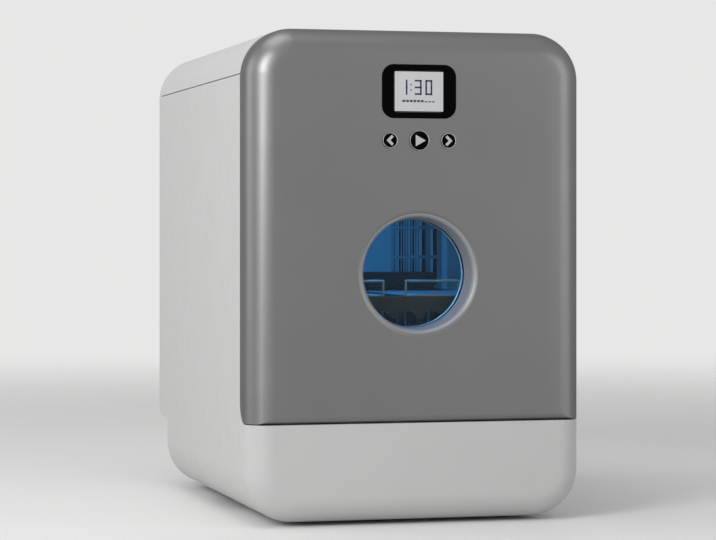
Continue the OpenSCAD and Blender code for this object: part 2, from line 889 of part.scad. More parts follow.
module mains_inlet() {
  color("black") translate([mains_x, base_rear, port_z]) {
    difference() {
      union() {
        block([-mains_w / 2, -22, -mains_h / 2], [mains_w / 2, 2, mains_h / 2]);
        block([-mains_w / 2 - 9, 0, -mains_h / 2 - 3], [mains_w / 2 + 9, 2, mains_h / 2 + 3]);
      }
      block([-mains_w / 2 + 2, -16, -mains_h / 2 + 2], [mains_w / 2 - 2, 3, mains_h / 2 - 2]);
    }
    for (pin = [[-7, -2], [0, 3], [7, -2]])
      block([pin[0] - 1, -17, pin[1] - 2], [pin[0] + 1, -3, pin[1] + 2]);
  }
}

// ---------- tank, filler and fan ----------

module water_tank() {
  y1 = rear_y - shell_wall - 4;
  color("aliceblue") difference() {
    block([tank_x0, tub_back, tank_z], [tank_x1, y1, tank_top]);
    block([tank_x0 + 2.5, tub_back + 2.5, tank_z + 2.5], [tank_x1 - 2.5, y1 - 2.5, tank_top - 2.5]);
    rod_z([filler_x, filler_y, tank_top - 4], filler_r + 0.5, 8);
  }
}

module filler_neck() {
  color("gainsboro") difference() {
    union() {
      rod_z([filler_x, filler_y, tank_top], filler_r + 2.5, pocket_floor + 2 - tank_top);
      rod_z([filler_x, filler_y, pocket_floor], filler_r + 6, 2);
    }
    rod_z([filler_x, filler_y, tank_top - eps], filler_r, pocket_floor - tank_top + 10);
  }
}

module filler_lid() {
  x0 = filler_x - lid_w / 2;
  color("white") difference() {
    union() {
      block([x0, lid_y0, body_h - lid_t], [x0 + lid_w, lid_axis_y - lid_knuckle_r, body_h]);
      block([x0 + 8, lid_axis_y - lid_knuckle_r, body_h - lid_t], [x0 + lid_w - 8, lid_axis_y, body_h]);
      rod_x([x0 + 8, lid_axis_y, lid_axis_z], lid_knuckle_r, lid_w - 16);
      rod_x([x0 - 3, lid_axis_y, lid_axis_z], lid_pin_r, lid_w + 6);
    }
    block([filler_x - 12, lid_y0 - eps, body_h - 1.6], [filler_x + 12, lid_y0 + 5, body_h + eps]);
  }
}

module lid_seal() {
  low = pocket_floor + 2 + fit_gap;
  color("dimgray") difference() {
    rod_z([filler_x, filler_y, low], filler_r + 4, body_h - lid_t - low);
    rod_z([filler_x, filler_y, low - eps], filler_r + 1, body_h);
  }
}

module fan_housing() {
  y0 = tub_back;
  y1 = y0 + duct_d;
  y2 = y1 + 22;
  color("gray") difference() {
    union() {
      block([duct_x0, y0, duct_z0], [duct_x1, y1, duct_z1]);
      rod_y([fan_x, y1 - 1, fan_z], fan_r + 4, 23);
    }
    block([duct_x0 + 2, y0 - eps, duct_z0 + 2], [duct_x1 - 2, y1 - 2, duct_z1 - 2]);
    difference() {
      rod_y([fan_x, y1 - 3, fan_z], fan_r + 1, 30);
      block([fan_x - fan_r - 2, y2 - 3, fan_z - 3], [fan_x + fan_r + 2, y2, fan_z + 3]);
      rod_y([fan_x, y2 - 3, fan_z], 11, 3);
    }
    rod_y([fan_x, y2 - 4, fan_z], 2.05, 6);
  }
}

module fan_rotor() {
  blades = 7;
  color("black") translate([fan_x, tub_back + duct_d + 3, fan_z]) {
    rod_y([0, 0, 0], 10, 14);
    rod_y([0, 0, 0], 2, 18.5);
    for (a = [0:360 / blades:359]) rotate([0, a, 0]) translate([0, 7, 16]) rotate([0, 0, 35])
      cube([1.6, 13, 2 * (fan_r - 16)], center = true);
  }
}

// ---------- door ----------

module door_fascia() {
  notch_x = arm_x - 1;
  color("darkgray") difference() {
    union() {
      difference() {
        intersection() {
          soft_block(0, wing_back);
          door_zone(0);
        }
        difference() {
          soft_block(door_wall, wing_back + eps);
          edge_relief(hinge_in - door_wall);
        }
        edge_relief(hinge_in);
        turned_y(0, window_z) square([window_r + window_roll, door_wall + 2]);
      }
      turned_y(0, window_z) rolled_edge();
    }
    along_y(front_y - eps, front_y + 2 * door_wall) translate([0, display_z])
      round_rect(display_w + 0.4, display_h + 0.4, display_r + 0.2);
    for (b = buttons) rod_y([b[0], front_y - eps, button_z], b[1] + 0.3, 3 * door_wall);
    both_sides() along_x(notch_x, notch_x + arm_w + 2) translate([hinge_y, hinge_z])
      polygon([[0, 0], 2 * hinge_in * [-sin(20), -cos(20)], 2 * hinge_in * [1, -1], [2 * hinge_in, 0]]);
  }
}

// Profile of the metal rolled in round the window
module rolled_edge() {
  intersection() {
    translate([window_r + window_roll, window_roll]) difference() {
      circle(window_roll);
      circle(window_roll - door_wall);
    }
    translate([window_r, 0]) square([window_roll, window_roll]);
  }
  translate([window_r, window_roll]) square([door_wall, 3]);
  translate([window_r + window_roll - 0.1, 0]) square([0.2, door_wall]);
}

module door_liner() {
  inset = door_wall + fit_gap;
  color("whitesmoke") difference() {
    intersection() {
      soft_block(inset, liner_y);
      difference() {
        block([-half_w, front_y, liner_z], [half_w, liner_y, body_h]);
        intersection() {
          block([-half_w, front_y - eps, liner_z + 2], [half_w, liner_y - liner_wall, body_h]);
          along_y(front_y, liner_y) section(inset + 2);
        }
      }
    }
    turned_y(0, window_z) square([window_r - 3, 2 * door_depth]);
    block([-tray_w / 2 - 0.2, front_y, disp_z0 - 0.2], [tray_w / 2 + 0.2, liner_y + eps, disp_z1 + 0.2]);
  }
}

module hinge_blocks() {
  x = arm_x - 1.5 - block_w;
  color("dimgray") both_sides() difference() {
    union() {
      rod_x([x, hinge_y, hinge_z], knuckle_r, block_w);
      block([x, hinge_y - knuckle_r, hinge_z], [x + block_w, hinge_y + 5, liner_z]);
      block([x, hinge_y, hinge_z - knuckle_r], [x + block_w, hinge_y + 5, hinge_z]);
    }
    rod_x([x - eps, hinge_y, hinge_z], hinge_pin_r + 0.05, block_w + 2 * eps);
  }
}

module door_magnets() {
  y1 = liner_y - liner_wall;
  color("dimgray") both_sides()
    block([keeper_x - 10, y1 - 4, keeper_z - 4], [keeper_x + 10, y1, keeper_z + 4]);
}

module window_bezel() {
  d0 = window_roll + 3 + fit_gap;
  color("silver") turned_y(0, window_z)
    polygon([[window_r, d0], [window_r - 1.6, glass_depth], [window_r + 6, glass_depth],
             [window_r + 6, glass_depth - 2], [window_r + door_wall, glass_depth - 2],
             [window_r + door_wall, d0]]);
}

module window_glass() {
  color("lightskyblue", 0.4) rod_y([0, front_y + glass_depth, window_z], window_r + 4, glass_t);
}

module window_seal() {
  y0 = front_y + glass_depth + glass_t;
  color("black") difference() {
    rod_y([0, y0, window_z], window_r + 4, liner_y - liner_wall - y0);
    rod_y([0, y0 - eps, window_z], window_r - 3, door_depth);
  }
}

module display_lens() {
  color("black") translate([0, 0, display_z]) difference() {
    union() {
      along_y(front_y + 0.2, front_y + 4) round_rect(display_w, display_h, display_r);
      along_y(front_y + door_wall + fit_gap, front_y + 5)
        round_rect(display_w + 6, display_h + 6, display_r + 3);
      for (x = [-1, 1], z = [-1, 1])
        rod_y([x * (display_w / 2 - 4), front_y + 4, z * (display_h / 2 - 4)], 3, display_y - front_y - 4);
    }
    along_y(front_y - eps, front_y + 3) round_rect(screen_w + 0.2, screen_h + 0.2, 2.6);
  }
}

module lcd_screen() {
  color("gainsboro") translate([0, 0, display_z])
    along_y(front_y + 0.5, front_y + 3) round_rect(screen_w, screen_h, 2.5);
}

module display_board() {
  color("darkgreen") {
    block([-46, display_y, button_z - 16], [46, display_y + 1.6, display_z + display_h / 2]);
    for (b = buttons) rod_y([b[0], display_y - 3, button_z], 3, 3.1);
    block([-30, display_y + 1.5, display_z - 20], [30, display_y + 6, display_z + 10]);
  }
}

module button(i) {
  x = buttons[i][0];
  r = buttons[i][1];
  stem_end = display_y - 3 - button_travel - fit_gap;
  color("black") {
    rod_y([x, front_y - button_proud, button_z], r, button_proud + door_wall + 1.2);
    rod_y([x, front_y + door_wall + fit_gap, button_z], r + 1.5, 1.5);
    rod_y([x, front_y + door_wall + fit_gap, button_z], 2.5, stem_end - front_y - door_wall - fit_gap);
  }
}

module button_back() {
  button(0);
}

module button_play() {
  button(1);
}

module button_next() {
  button(2);
}

module dispenser_tray() {
  depth = 19;
  face = liner_y + 0.5;
  color("white") difference() {
    union() {
      block([-tray_w / 2, liner_y - depth, disp_z0], [tray_w / 2, face, disp_z1]);
      block([-tray_w / 2 - 3, liner_y, disp_z0 - 3], [tray_w / 2 + 3, face, disp_z1 + 3]);
      block([-tray_w / 2 - 3, liner_y, disp_z0 - 3], [tray_w / 2 + 3, face + 2.8, disp_z0 - 1]);
      block([-tray_w / 2 - 3, liner_y, disp_z1 + 1], [tray_w / 2 + 3, face + 2.8, disp_z1 + 3]);
    }
    block([-tray_w / 2 + 2, liner_y - depth + 2, disp_z0 + 2], [-2, face + eps, disp_z1 - 2]);
    block([2, liner_y - depth + 2, disp_z0 + 2], [tray_w / 2 - 2, face - 2, disp_z1 - 2]);
  }
}

module dispenser_lid() {
  face = liner_y + 0.5 + fit_gap;
  color("lightgray") {
    block([-tray_w / 2, face, disp_z0 - 0.7], [0, face + 1.6, disp_z1 + 0.7]);
    block([-8, face + 1.5, disp_z0 + 8], [-4, face + 3, disp_z1 - 8]);
  }
}

// ---------- rack ----------

// The basket's outline seen from the side; its lower front slopes back to clear the opening door
module basket_side(inset) {
  high = rim_z + (inset > 0 ? eps : 0);
  polygon([[rack_y + inset, high], [rack_y + inset, rack_z + basket_slope + inset / 2],
           [rack_y + basket_slope + inset / 2, rack_z + inset], [rack_back - inset, rack_z + inset],
           [rack_back - inset, high]]);
}

// A row of arched windows standing on the floor
module arches(length) {
  n = floor((length - rack_pitch) / rack_pitch / 2);
  r = (rack_pitch - rack_bar) / 2;
  low = rack_z + rack_wall + 3;
  top = rim_z - 4;
  for (i = [-n:n]) translate([i * rack_pitch, 0]) {
    translate([-r, low]) square([2 * r, top - r - low]);
    translate([0, top - r]) circle(r);
  }
}

// Open basket of five thin panels that clip into one another: floor, front, back and two sides
module rack_basket() {
  nx = floor((2 * rack_half - 2 * rack_pitch) / rack_pitch / 2);
  ny = floor((rack_back - rack_y - 3.4 * rack_pitch) / rack_pitch / 2);
  hole = rack_pitch - rack_bar;
  mid_y = (rack_y + rack_back) / 2;
  side = rack_half - rack_wall;
  lip_y = rack_y + basket_slope + rack_wall;
  above = rack_z + rack_wall + eps;
  color("slategray") difference() {
    along_x(-rack_half, rack_half) basket_side(0);
    along_x(-side, side) basket_side(rack_wall);
    along_y(rack_y - eps, rack_back + eps) arches(2 * rack_half - 10);
    translate([0, mid_y + 12, 0]) along_x(-rack_half - eps, rack_half + eps) arches(rack_back - rack_y - 60);
    translate([0, mid_y + 12, rack_z - eps]) linear_extrude(rack_wall + 2 * eps)
      for (i = [-nx:nx], j = [-ny:ny])
        translate([i * rack_pitch, j * rack_pitch]) square(hole, center = true);
    both_sides() block([side - panel_play, rack_y - eps, rack_z - eps], [side, rack_back + eps, rim_z + eps]);
    for (y = [lip_y, rack_back - rack_wall - panel_play])
      block([-side, y, rack_z - eps], [side, y + panel_play, above]);
  }
}

module rack_rim() {
  high = rim_z + rim_h;
  color("darkslategray") {
    difference() {
      block([-rack_half - 1, rack_y - 1, rim_z], [rack_half + 1, rack_back + 1, high]);
      block([-rack_half + 2, rack_y + 2, rim_z - eps], [rack_half - 2, rack_back - 2, high + eps]);
    }
    both_sides() for (y = roller_ys) {
      block([rack_half, y - 8, roller_z - 5], [rack_half + 4, y + 8, rim_z + 4]);
      rod_x([rack_half + 3, y, roller_z], roller_pin_r, roller_x + roller_w - rack_half - 3);
    }
    for (y = [shelf_y0 + 5, shelf_y1 + fit_gap]) both_sides()
      block([shelf_x - 3, y, rim_z + 2], [rack_half, y + 4, shelf_z + 3]);
    for (y = [shelf_y0 + 8, shelf_y1 - 5]) both_sides() rod_y([shelf_x, y, shelf_z], shelf_pin_r, 6);
  }
}

// A cup shelf on the right of the rack, folding up about its outer edge, with a raised front edge
module cup_shelf(reach) {
  bar = shelf_bar;
  x0 = shelf_x - reach;
  x1 = shelf_x - 10;
  n = 6;
  step = (shelf_l - bar) / n;
  low = shelf_z - bar / 2;
  high = shelf_z + bar / 2;
  knuckle_y = shelf_y0 + 9.3;
  color("slategray") difference() {
    union() {
      rod_y([shelf_x, knuckle_y, shelf_z], 3, shelf_y1 - knuckle_y);
      for (x = [x0, x1 - bar]) block([x, shelf_y0, low], [x + bar, shelf_y1, high]);
      for (i = [0:n]) {
        y = shelf_y0 + i * step;
        block([x0, y, low], [i == 0 ? x1 : shelf_x, y + bar, high]);
      }
      for (x = [x0, x1 - bar]) block([x, shelf_y0, low], [x + bar, shelf_y0 + bar, shelf_z + 15]);
      block([x0, shelf_y0, shelf_z + 15 - bar], [x1, shelf_y0 + bar, shelf_z + 15]);
    }
    rod_y([shelf_x, knuckle_y - eps, shelf_z], shelf_pin_r + 0.05, 6 + eps);
    rod_y([shelf_x, shelf_y1 - 6, shelf_z], shelf_pin_r + 0.05, 6 + eps);
  }
}

module cup_shelf_right() {
  cup_shelf(shelf_x + 3);
}

module cup_shelf_left() {
  mirror([1, 0, 0]) cup_shelf(shelf_x - 23.5);
}

module plate_tines() {
  n = 4;
  foot = rack_z + rack_wall;
  color("slategray") for (y = [rack_y + 132, rack_y + 192]) {
    block([-n * rack_pitch - 2, y, foot], [n * rack_pitch + 2, y + 3, foot + 3]);
    for (i = [-n:n]) block([i * rack_pitch - 1.5, y, foot], [i * rack_pitch + 1.5, y + 3, rim_z]);
  }
}

// Open cutlery basket in three cells along the back of the rack
module cutlery_basket() {
  foot = rack_z + rack_wall;
  wall = cutlery_wall;
  y1 = rack_back - rack_wall - 2;
  y0 = y1 - cutlery_d;
  half = rack_half - 20;
  cell = (2 * half - 4 * wall) / 3;
  color("gray") difference() {
    block([-half, y0, foot], [half, y1, foot + cutlery_h]);
    for (i = [0:2]) {
      x = -half + wall + i * (cell + wall);
      block([x, y0 + wall, foot + wall], [x + cell, y1 - wall, foot + cutlery_h + eps]);
      rod_z([x + cell / 2, (y0 + y1) / 2, foot - eps], 8, wall + 2 * eps);
    }
  }
}

module roller_pair(y) {
  color("white") both_sides() difference() {
    rod_x([roller_x, y, roller_z], roller_r, roller_w);
    rod_x([roller_x - eps, y, roller_z], roller_pin_r + 0.05, roller_w + 2 * eps);
  }
}

module front_rollers() {
  roller_pair(roller_ys[0]);
}

module rear_rollers() {
  roller_pair(roller_ys[1]);
}

outer_shell();
top_cover();
rear_cover();
rear_screws();
feet();
base_tray();
front_frame();
hinge_arms();
hinge_pins();
keeper_plates();
tub();
door_gasket();
rack_rails();
light_bar();
sump();
filter_basket();
spray_riser();
spray_arm();
arm_nut();
wash_pump();
wash_impeller();
drain_pump();
drain_impeller();
heater();
hoses();
water_tank();
filler_neck();
filler_lid();
lid_seal();
fan_housing();
fan_rotor();
power_board();
inlet_valve();
drain_spigot();
mains_inlet();
float_switch();
float();
door_fascia();
door_liner();
hinge_blocks();
door_magnets();
window_bezel();
window_glass();
window_seal();
display_lens();
lcd_screen();
display_board();
button_back();
button_play();
button_next();
dispenser_tray();
dispenser_lid();
rack_basket();
rack_rim();
plate_tines();
cutlery_basket();
cup_shelf_left();
cup_shelf_right();
front_rollers();
rear_rollers();
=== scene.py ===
"""Countertop dishwasher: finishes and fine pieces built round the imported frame.

Every size is in millimetres unless its name says otherwise, and each mesh is scaled to metres
when it is finished. The door faces -Y, +X is right seen from the front, and +Z is up.
"""

import json
import logging
import math
from collections.abc import Callable
from dataclasses import dataclass, field
from enum import Enum

import bmesh
import bpy
from mathutils import Matrix, Vector

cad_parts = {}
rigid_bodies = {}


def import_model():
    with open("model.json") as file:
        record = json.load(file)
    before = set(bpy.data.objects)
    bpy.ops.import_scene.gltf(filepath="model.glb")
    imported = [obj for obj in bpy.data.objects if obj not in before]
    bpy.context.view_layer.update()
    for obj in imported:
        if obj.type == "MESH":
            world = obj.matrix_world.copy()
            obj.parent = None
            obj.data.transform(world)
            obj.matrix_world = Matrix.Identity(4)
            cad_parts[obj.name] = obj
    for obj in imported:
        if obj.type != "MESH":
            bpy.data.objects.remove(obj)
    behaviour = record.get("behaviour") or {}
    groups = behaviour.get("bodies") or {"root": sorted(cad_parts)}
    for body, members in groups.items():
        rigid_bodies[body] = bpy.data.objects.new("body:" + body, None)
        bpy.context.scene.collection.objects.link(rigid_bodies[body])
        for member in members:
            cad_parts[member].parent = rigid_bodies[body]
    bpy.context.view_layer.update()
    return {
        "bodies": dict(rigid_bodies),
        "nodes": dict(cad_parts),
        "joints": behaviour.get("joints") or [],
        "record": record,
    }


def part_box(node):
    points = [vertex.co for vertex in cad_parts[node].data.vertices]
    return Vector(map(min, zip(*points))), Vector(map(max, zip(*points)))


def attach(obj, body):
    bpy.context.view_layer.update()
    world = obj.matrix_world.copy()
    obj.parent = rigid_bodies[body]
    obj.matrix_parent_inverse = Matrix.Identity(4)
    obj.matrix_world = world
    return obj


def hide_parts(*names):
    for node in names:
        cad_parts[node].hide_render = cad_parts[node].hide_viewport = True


LOG = logging.getLogger("dishwasher")
MM = 0.001

Triple = tuple[float, float, float]
Profile = list[tuple[float, float]]
Socket = bpy.types.NodeSocket


class Axis(Enum):
    """The axes that turned pieces are spun round, as unit vectors."""

    X = (1.0, 0.0, 0.0)
    Y = (0.0, 1.0, 0.0)

    def turn(self) -> Matrix:
        """Gives the rotation that lays +Z along this axis."""
        return Vector((0, 0, 1)).rotation_difference(Vector(self.value)).to_matrix().to_4x4()


# ---------------------------------------------------------------- shader nodes


class Wiring:
    """A node tree being written."""

    def __init__(self, tree: bpy.types.NodeTree) -> None:
        """Takes the tree."""
        self.tree = tree

    def node(self, kind: str, inputs: dict | None = None, **values: object) -> bpy.types.Node:
        """Adds a node.

        Args:
            kind: The node's class name.
            inputs: What each input gets, by name or number: a value, or the socket that feeds it.
            **values: Attributes to set on the node.

        Returns:
            The new node.
        """
        made = self.tree.nodes.new(kind)
        for key, value in values.items():
            setattr(made, key, value)
        self.feed(made, inputs or {})
        return made

    def feed(self, node: bpy.types.Node, inputs: dict) -> None:
        """Sets or joins inputs.

        Args:
            node: The node whose inputs they are.
            inputs: What each gets, as in node().
        """
        for key, value in inputs.items():
            if isinstance(value, Socket):
                self.tree.links.new(value, node.inputs[key])
            else:
                node.inputs[key].default_value = value


class Groups:
    """Shader node groups that several finishes share. Each is built once, on first use."""

    @staticmethod
    def _get(name: str, inputs: dict[str, float], output: str, write: Callable) -> bpy.types.NodeTree:
        """Gives a group, and writes it if it isn't there yet.

        Args:
            name: The group's name.
            inputs: Its inputs beside the coordinates, with their usual values.
            output: Its output.
            write: Adds its nodes, given the wiring and the group's inputs, and returns the result's socket.

        Returns:
            The group.
        """
        if name not in bpy.data.node_groups:
            tree = bpy.data.node_groups.new(name, "ShaderNodeTree")
            tree.interface.new_socket("Vector", in_out="INPUT", socket_type="NodeSocketVector")
            for label, value in inputs.items():
                socket = tree.interface.new_socket(label, in_out="INPUT", socket_type="NodeSocketFloat")
                socket.default_value = value
            tree.interface.new_socket(output, in_out="OUTPUT", socket_type="NodeSocketFloat")
            wiring = Wiring(tree)
            start = wiring.node("NodeGroupInput").outputs
            wiring.node("NodeGroupOutput", {output: write(wiring, start)})
        return bpy.data.node_groups[name]

    @staticmethod
    def mottle() -> bpy.types.NodeTree:
        """Gives the group for slow drift in colour and gloss: soft noise between a low and a high value."""
        def write(wiring: Wiring, start: bpy.types.NodeOutputs) -> Socket:
            """Adds the nodes between the group's inputs and its result, and gives the result's socket."""
            noise = wiring.node("ShaderNodeTexNoise", {"Vector": start["Vector"], "Scale": start["Scale"],
                                                       "Detail": 3.0, "Roughness": 0.55})
            return wiring.node("ShaderNodeMapRange", {
                "Value": noise.outputs["Fac"], "From Min": 0.3, "From Max": 0.7,
                "To Min": start["Low"], "To Max": start["High"]}).outputs["Result"]

        return Groups._get("mottle", {"Scale": 20.0, "Low": 0.9, "High": 1.1}, "Value", write)

    @staticmethod
    def grain() -> bpy.types.NodeTree:
        """Gives the group for fine surface grain, as a height for a bump.

        Vector may be stretched beforehand, which turns the grain into brush marks.
        """
        def write(wiring: Wiring, start: bpy.types.NodeOutputs) -> Socket:
            """Adds the nodes between the group's inputs and its result, and gives the result's socket."""
            place = {"Vector": start["Vector"], "Scale": start["Scale"]}
            noise = wiring.node("ShaderNodeTexNoise", {**place, "Detail": 2.0})
            cells = wiring.node("ShaderNodeTexVoronoi", place, feature="SMOOTH_F1")
            return wiring.node("ShaderNodeMix", {0: start["Pits"], 2: noise.outputs["Fac"],
                                                 3: cells.outputs["Distance"]}, data_type="FLOAT").outputs[0]

        return Groups._get("grain", {"Scale": 900.0, "Pits": 0.3}, "Height", write)


class Sheet(Wiring):
    """A material being written."""

    def __init__(self, name: str) -> None:
        """Starts a material under a name."""
        self.material = bpy.data.materials.new(name)
        self.material.use_nodes = True
        super().__init__(self.material.node_tree)
        self.shader = self.tree.nodes["Principled BSDF"]
        self.object_coords = self.node("ShaderNodeTexCoord").outputs["Object"]

    def coords(self, stretch: Triple | None = None) -> Socket:
        """Gives Object coordinates.

        Args:
            stretch: Factor along each axis, if they are stretched.

        Returns:
            The coordinates' socket.
        """
        if stretch is None:
            return self.object_coords
        mapping = self.node("ShaderNodeMapping", {"Vector": self.object_coords, "Scale": stretch})
        return mapping.outputs["Vector"]

    def mottle(self, scale: float, low: float, high: float, stretch: Triple | None = None) -> Socket:
        """Adds drift between two values, as fine as its scale and stretched if asked, and gives its value."""
        return self.node("ShaderNodeGroup", {"Vector": self.coords(stretch), "Scale": scale, "Low": low,
                                             "High": high}, node_tree=Groups.mottle()).outputs["Value"]

    def grain(self, scale: float, pits: float, stretch: Triple | None = None) -> Socket:
        """Adds grain, as fine as its scale, with a share of round pits, and gives its height."""
        return self.node("ShaderNodeGroup", {"Vector": self.coords(stretch), "Scale": scale, "Pits": pits},
                         node_tree=Groups.grain()).outputs["Height"]

    def tinted(self, colour: Triple, factor: Socket) -> Socket:
        """Gives a colour times a value that drifts."""
        scaled = self.node("ShaderNodeVectorMath", {0: colour, "Scale": factor}, operation="SCALE")
        return scaled.outputs["Vector"]

    def set(self, **inputs: object) -> None:
        """Sets or joins the shader's own inputs; underscores stand for spaces."""
        self.feed(self.shader, {key.replace("_", " "): value for key, value in inputs.items()})

    def bump(self, height: Socket, depth_mm: float, strength: float = 0.5) -> None:
        """Turns a height into the shader's normal, as a relief of a depth and a strength."""
        self.set(Normal=self.node("ShaderNodeBump", {"Strength": strength, "Distance": depth_mm * MM,
                                                     "Height": height}).outputs["Normal"])


# ---------------------------------------------------------------- finishes


@dataclass(frozen=True)
class Finish:
    """A moulded, painted, rubber or cast finish: one colour with drift, gloss and fine grain."""

    name: str
    colour: Triple
    roughness: float = 0.45
    metallic: float = 0.0
    drift: float = 0.03
    drift_scale: float = 18.0
    gloss_drift: float = 0.12
    gloss_finer: float = 3.1
    grain_scale: float = 1100.0
    grain_depth: float = 0.02
    pits: float = 0.3
    coat: float = 0.0
    specular: float = 0.5
    edge_tint: float = 1.0
    stretch: Triple | None = None

    def build(self) -> bpy.types.Material:
        """Writes the finish as a material and returns it."""
        sheet = Sheet(self.name)
        drift = sheet.mottle(self.drift_scale, 1.0 - self.drift, 1.0 + self.drift)
        smudge = sheet.mottle(self.gloss_finer * self.drift_scale, 1.0 - self.gloss_drift,
                              1.0 + self.gloss_drift, self.stretch)
        gloss = sheet.node("ShaderNodeMath", {0: self.roughness, 1: smudge}, operation="MULTIPLY",
                           use_clamp=True)
        sheet.set(Metallic=self.metallic, Coat_Weight=self.coat, Specular_IOR_Level=self.specular,
                  Specular_Tint=(*[self.edge_tint] * 3, 1.0), Base_Color=sheet.tinted(self.colour, drift),
                  Roughness=gloss.outputs[0])
        sheet.bump(sheet.grain(self.grain_scale, self.pits, self.stretch), self.grain_depth)
        return sheet.material


@dataclass(frozen=True)
class ClearFinish:
    """Clear glass or clear plastic, with faint smears in its gloss."""

    name: str
    colour: Triple
    roughness: float
    ior: float
    smear: float
    smear_scale: float = 30.0

    def build(self) -> bpy.types.Material:
        """Writes the finish as a material and returns it."""
        sheet = Sheet(self.name)
        sheet.set(Transmission_Weight=1.0, IOR=self.ior, Base_Color=(*self.colour, 1.0),
                  Roughness=sheet.mottle(self.smear_scale, self.roughness, self.roughness + self.smear))
        return sheet.material


@dataclass(frozen=True)
class GlowFinish:
    """A lit surface behind a diffuser with fine cells: an LED strip or the display."""

    name: str
    colour: Triple
    strength: float
    base: Triple
    cell_mm: float
    roughness: float = 0.25
    cell_depth: float = 0.02

    def build(self) -> bpy.types.Material:
        """Writes the finish as a material and returns it."""
        sheet = Sheet(self.name)
        glow = sheet.mottle(60.0, 0.96, 1.03)
        sheet.set(Base_Color=(*self.base, 1.0), Roughness=self.roughness, Emission_Strength=self.strength,
                  Emission_Color=sheet.tinted(self.colour, glow))
        sheet.bump(sheet.grain(1.0 / (self.cell_mm * MM), 0.8), self.cell_depth, 0.25)
        return sheet.material


@dataclass(frozen=True)
class BoardFinish:
    """A printed circuit board: solder mask with tracks and pads."""

    name: str
    mask: Triple
    track: Triple
    track_scale: float = 160.0
    track_w: float = 0.06
    track_depth: float = 0.05
    shade: float = 0.8

    def build(self) -> bpy.types.Material:
        """Writes the finish as a material and returns it."""
        sheet = Sheet(self.name)
        brick = sheet.node("ShaderNodeTexBrick", {
            "Vector": sheet.coords(), "Scale": self.track_scale, "Mortar Size": self.track_w,
            "Color1": (*self.mask, 1.0), "Color2": (*[c * self.shade for c in self.mask], 1.0),
            "Mortar": (*self.track, 1.0)})
        sheet.set(Base_Color=brick.outputs["Color"], Roughness=sheet.mottle(120.0, 0.28, 0.5))
        sheet.bump(brick.outputs["Fac"], self.track_depth, 0.3)
        return sheet.material


FINISHES = (
    Finish("white_shell", (0.466, 0.466, 0.463), 0.5, drift=0.012, grain_scale=1500, grain_depth=0.012,
           gloss_drift=0.08),
    Finish("door_metal", (0.198, 0.198, 0.198), 0.40, metallic=1.0, drift=0.02, drift_scale=9.0,
           grain_scale=2600, grain_depth=0.006, gloss_drift=0.05, pits=0.1, edge_tint=0.55),
    Finish("white_plastic", (0.66, 0.66, 0.65), 0.42, grain_scale=1300),
    Finish("grey_plastic", (0.33, 0.34, 0.35), 0.5, grain_scale=900),
    Finish("dark_plastic", (0.06, 0.062, 0.066), 0.45, grain_scale=900),
    Finish("gloss_black", (0.001, 0.001, 0.0012), 0.14, drift=0.1, grain_depth=0.0015, gloss_drift=0.3,
           specular=0.03),
    Finish("rubber", (0.035, 0.035, 0.036), 0.72, grain_scale=700, grain_depth=0.05, pits=0.6),
    Finish("steel", (0.52, 0.52, 0.53), 0.3, metallic=1.0, stretch=(14.0, 1.0, 14.0), grain_scale=260,
           pits=0.0),
    Finish("tub_plastic", (0.32, 0.38, 0.42), 0.4, grain_scale=800),
    Finish("rack_plastic", (0.017, 0.018, 0.021), 0.46, grain_scale=900, specular=0.2),
    ClearFinish("glass", (0.78, 0.95, 1.0), 0.0, 1.2, 0.01),
    GlowFinish("screen", (0.46, 0.47, 0.475), 0.74, (0.16, 0.16, 0.17), 0.4),
    BoardFinish("board", (0.008, 0.07, 0.03), (0.09, 0.16, 0.05)),
    GlowFinish("light", (0.04, 0.42, 1.0), 12.0, (0.5, 0.6, 0.7), 3.0),
    ClearFinish("clear_tank", (0.80, 0.86, 0.90), 0.16, 1.3, 0.08),
    Finish("motor", (0.10, 0.105, 0.11), 0.5, metallic=0.4, grain_scale=500),
    Finish("impeller", (0.55, 0.42, 0.12), 0.45),
    Finish("float_orange", (0.72, 0.20, 0.02), 0.5),
    Finish("glyph", (0.42, 0.42, 0.43), 0.4),
    Finish("button_rim", (0.62, 0.62, 0.62), 0.3, metallic=1.0, grain_depth=0.002),
    Finish("ink", (0.018, 0.02, 0.075), 0.4),
    Finish("bright_trim", (0.27, 0.27, 0.285), 0.40, metallic=0.2, gloss_drift=0.1, grain_depth=0.002),
    Finish("seal_grey", (0.42, 0.44, 0.47), 0.6, grain_scale=700, grain_depth=0.04, pits=0.5),
    # painted shade: a near-black sheet behind the drying slots, standing in for the shade inside them
    Finish("shade_felt", (0.012, 0.013, 0.016), 0.9, grain_scale=2200, grain_depth=0.4, pits=0.2),
    Finish("panel", (0.14, 0.155, 0.175), 0.42, grain_scale=800),
    Finish("wire", (0.085, 0.095, 0.11), 0.24, grain_scale=900, coat=0.3),
)


class Palette:
    """All finishes by name, each written on first use. Most are named after a material slot of the record."""

    def __init__(self) -> None:
        """Starts with no finish written."""
        self.recipes = {finish.name: finish for finish in FINISHES}
        self.made: dict[str, bpy.types.Material] = {}

    def get(self, name: str) -> bpy.types.Material:
        """Gives a finish's material, writing it the first time."""
        if name not in self.made:
            self.made[name] = self.recipes[name].build()
        return self.made[name]


# ---------------------------------------------------------------- mesh making


def add_object(name: str, data: bpy.types.ID) -> bpy.types.Object:
    """Adds an object to the scene.

    Args:
        name: Its name.
        data: Its mesh, lamp or camera.

    Returns:
        The object.
    """
    made = bpy.data.objects.new(name, data)
    bpy.context.scene.collection.objects.link(made)
    return made


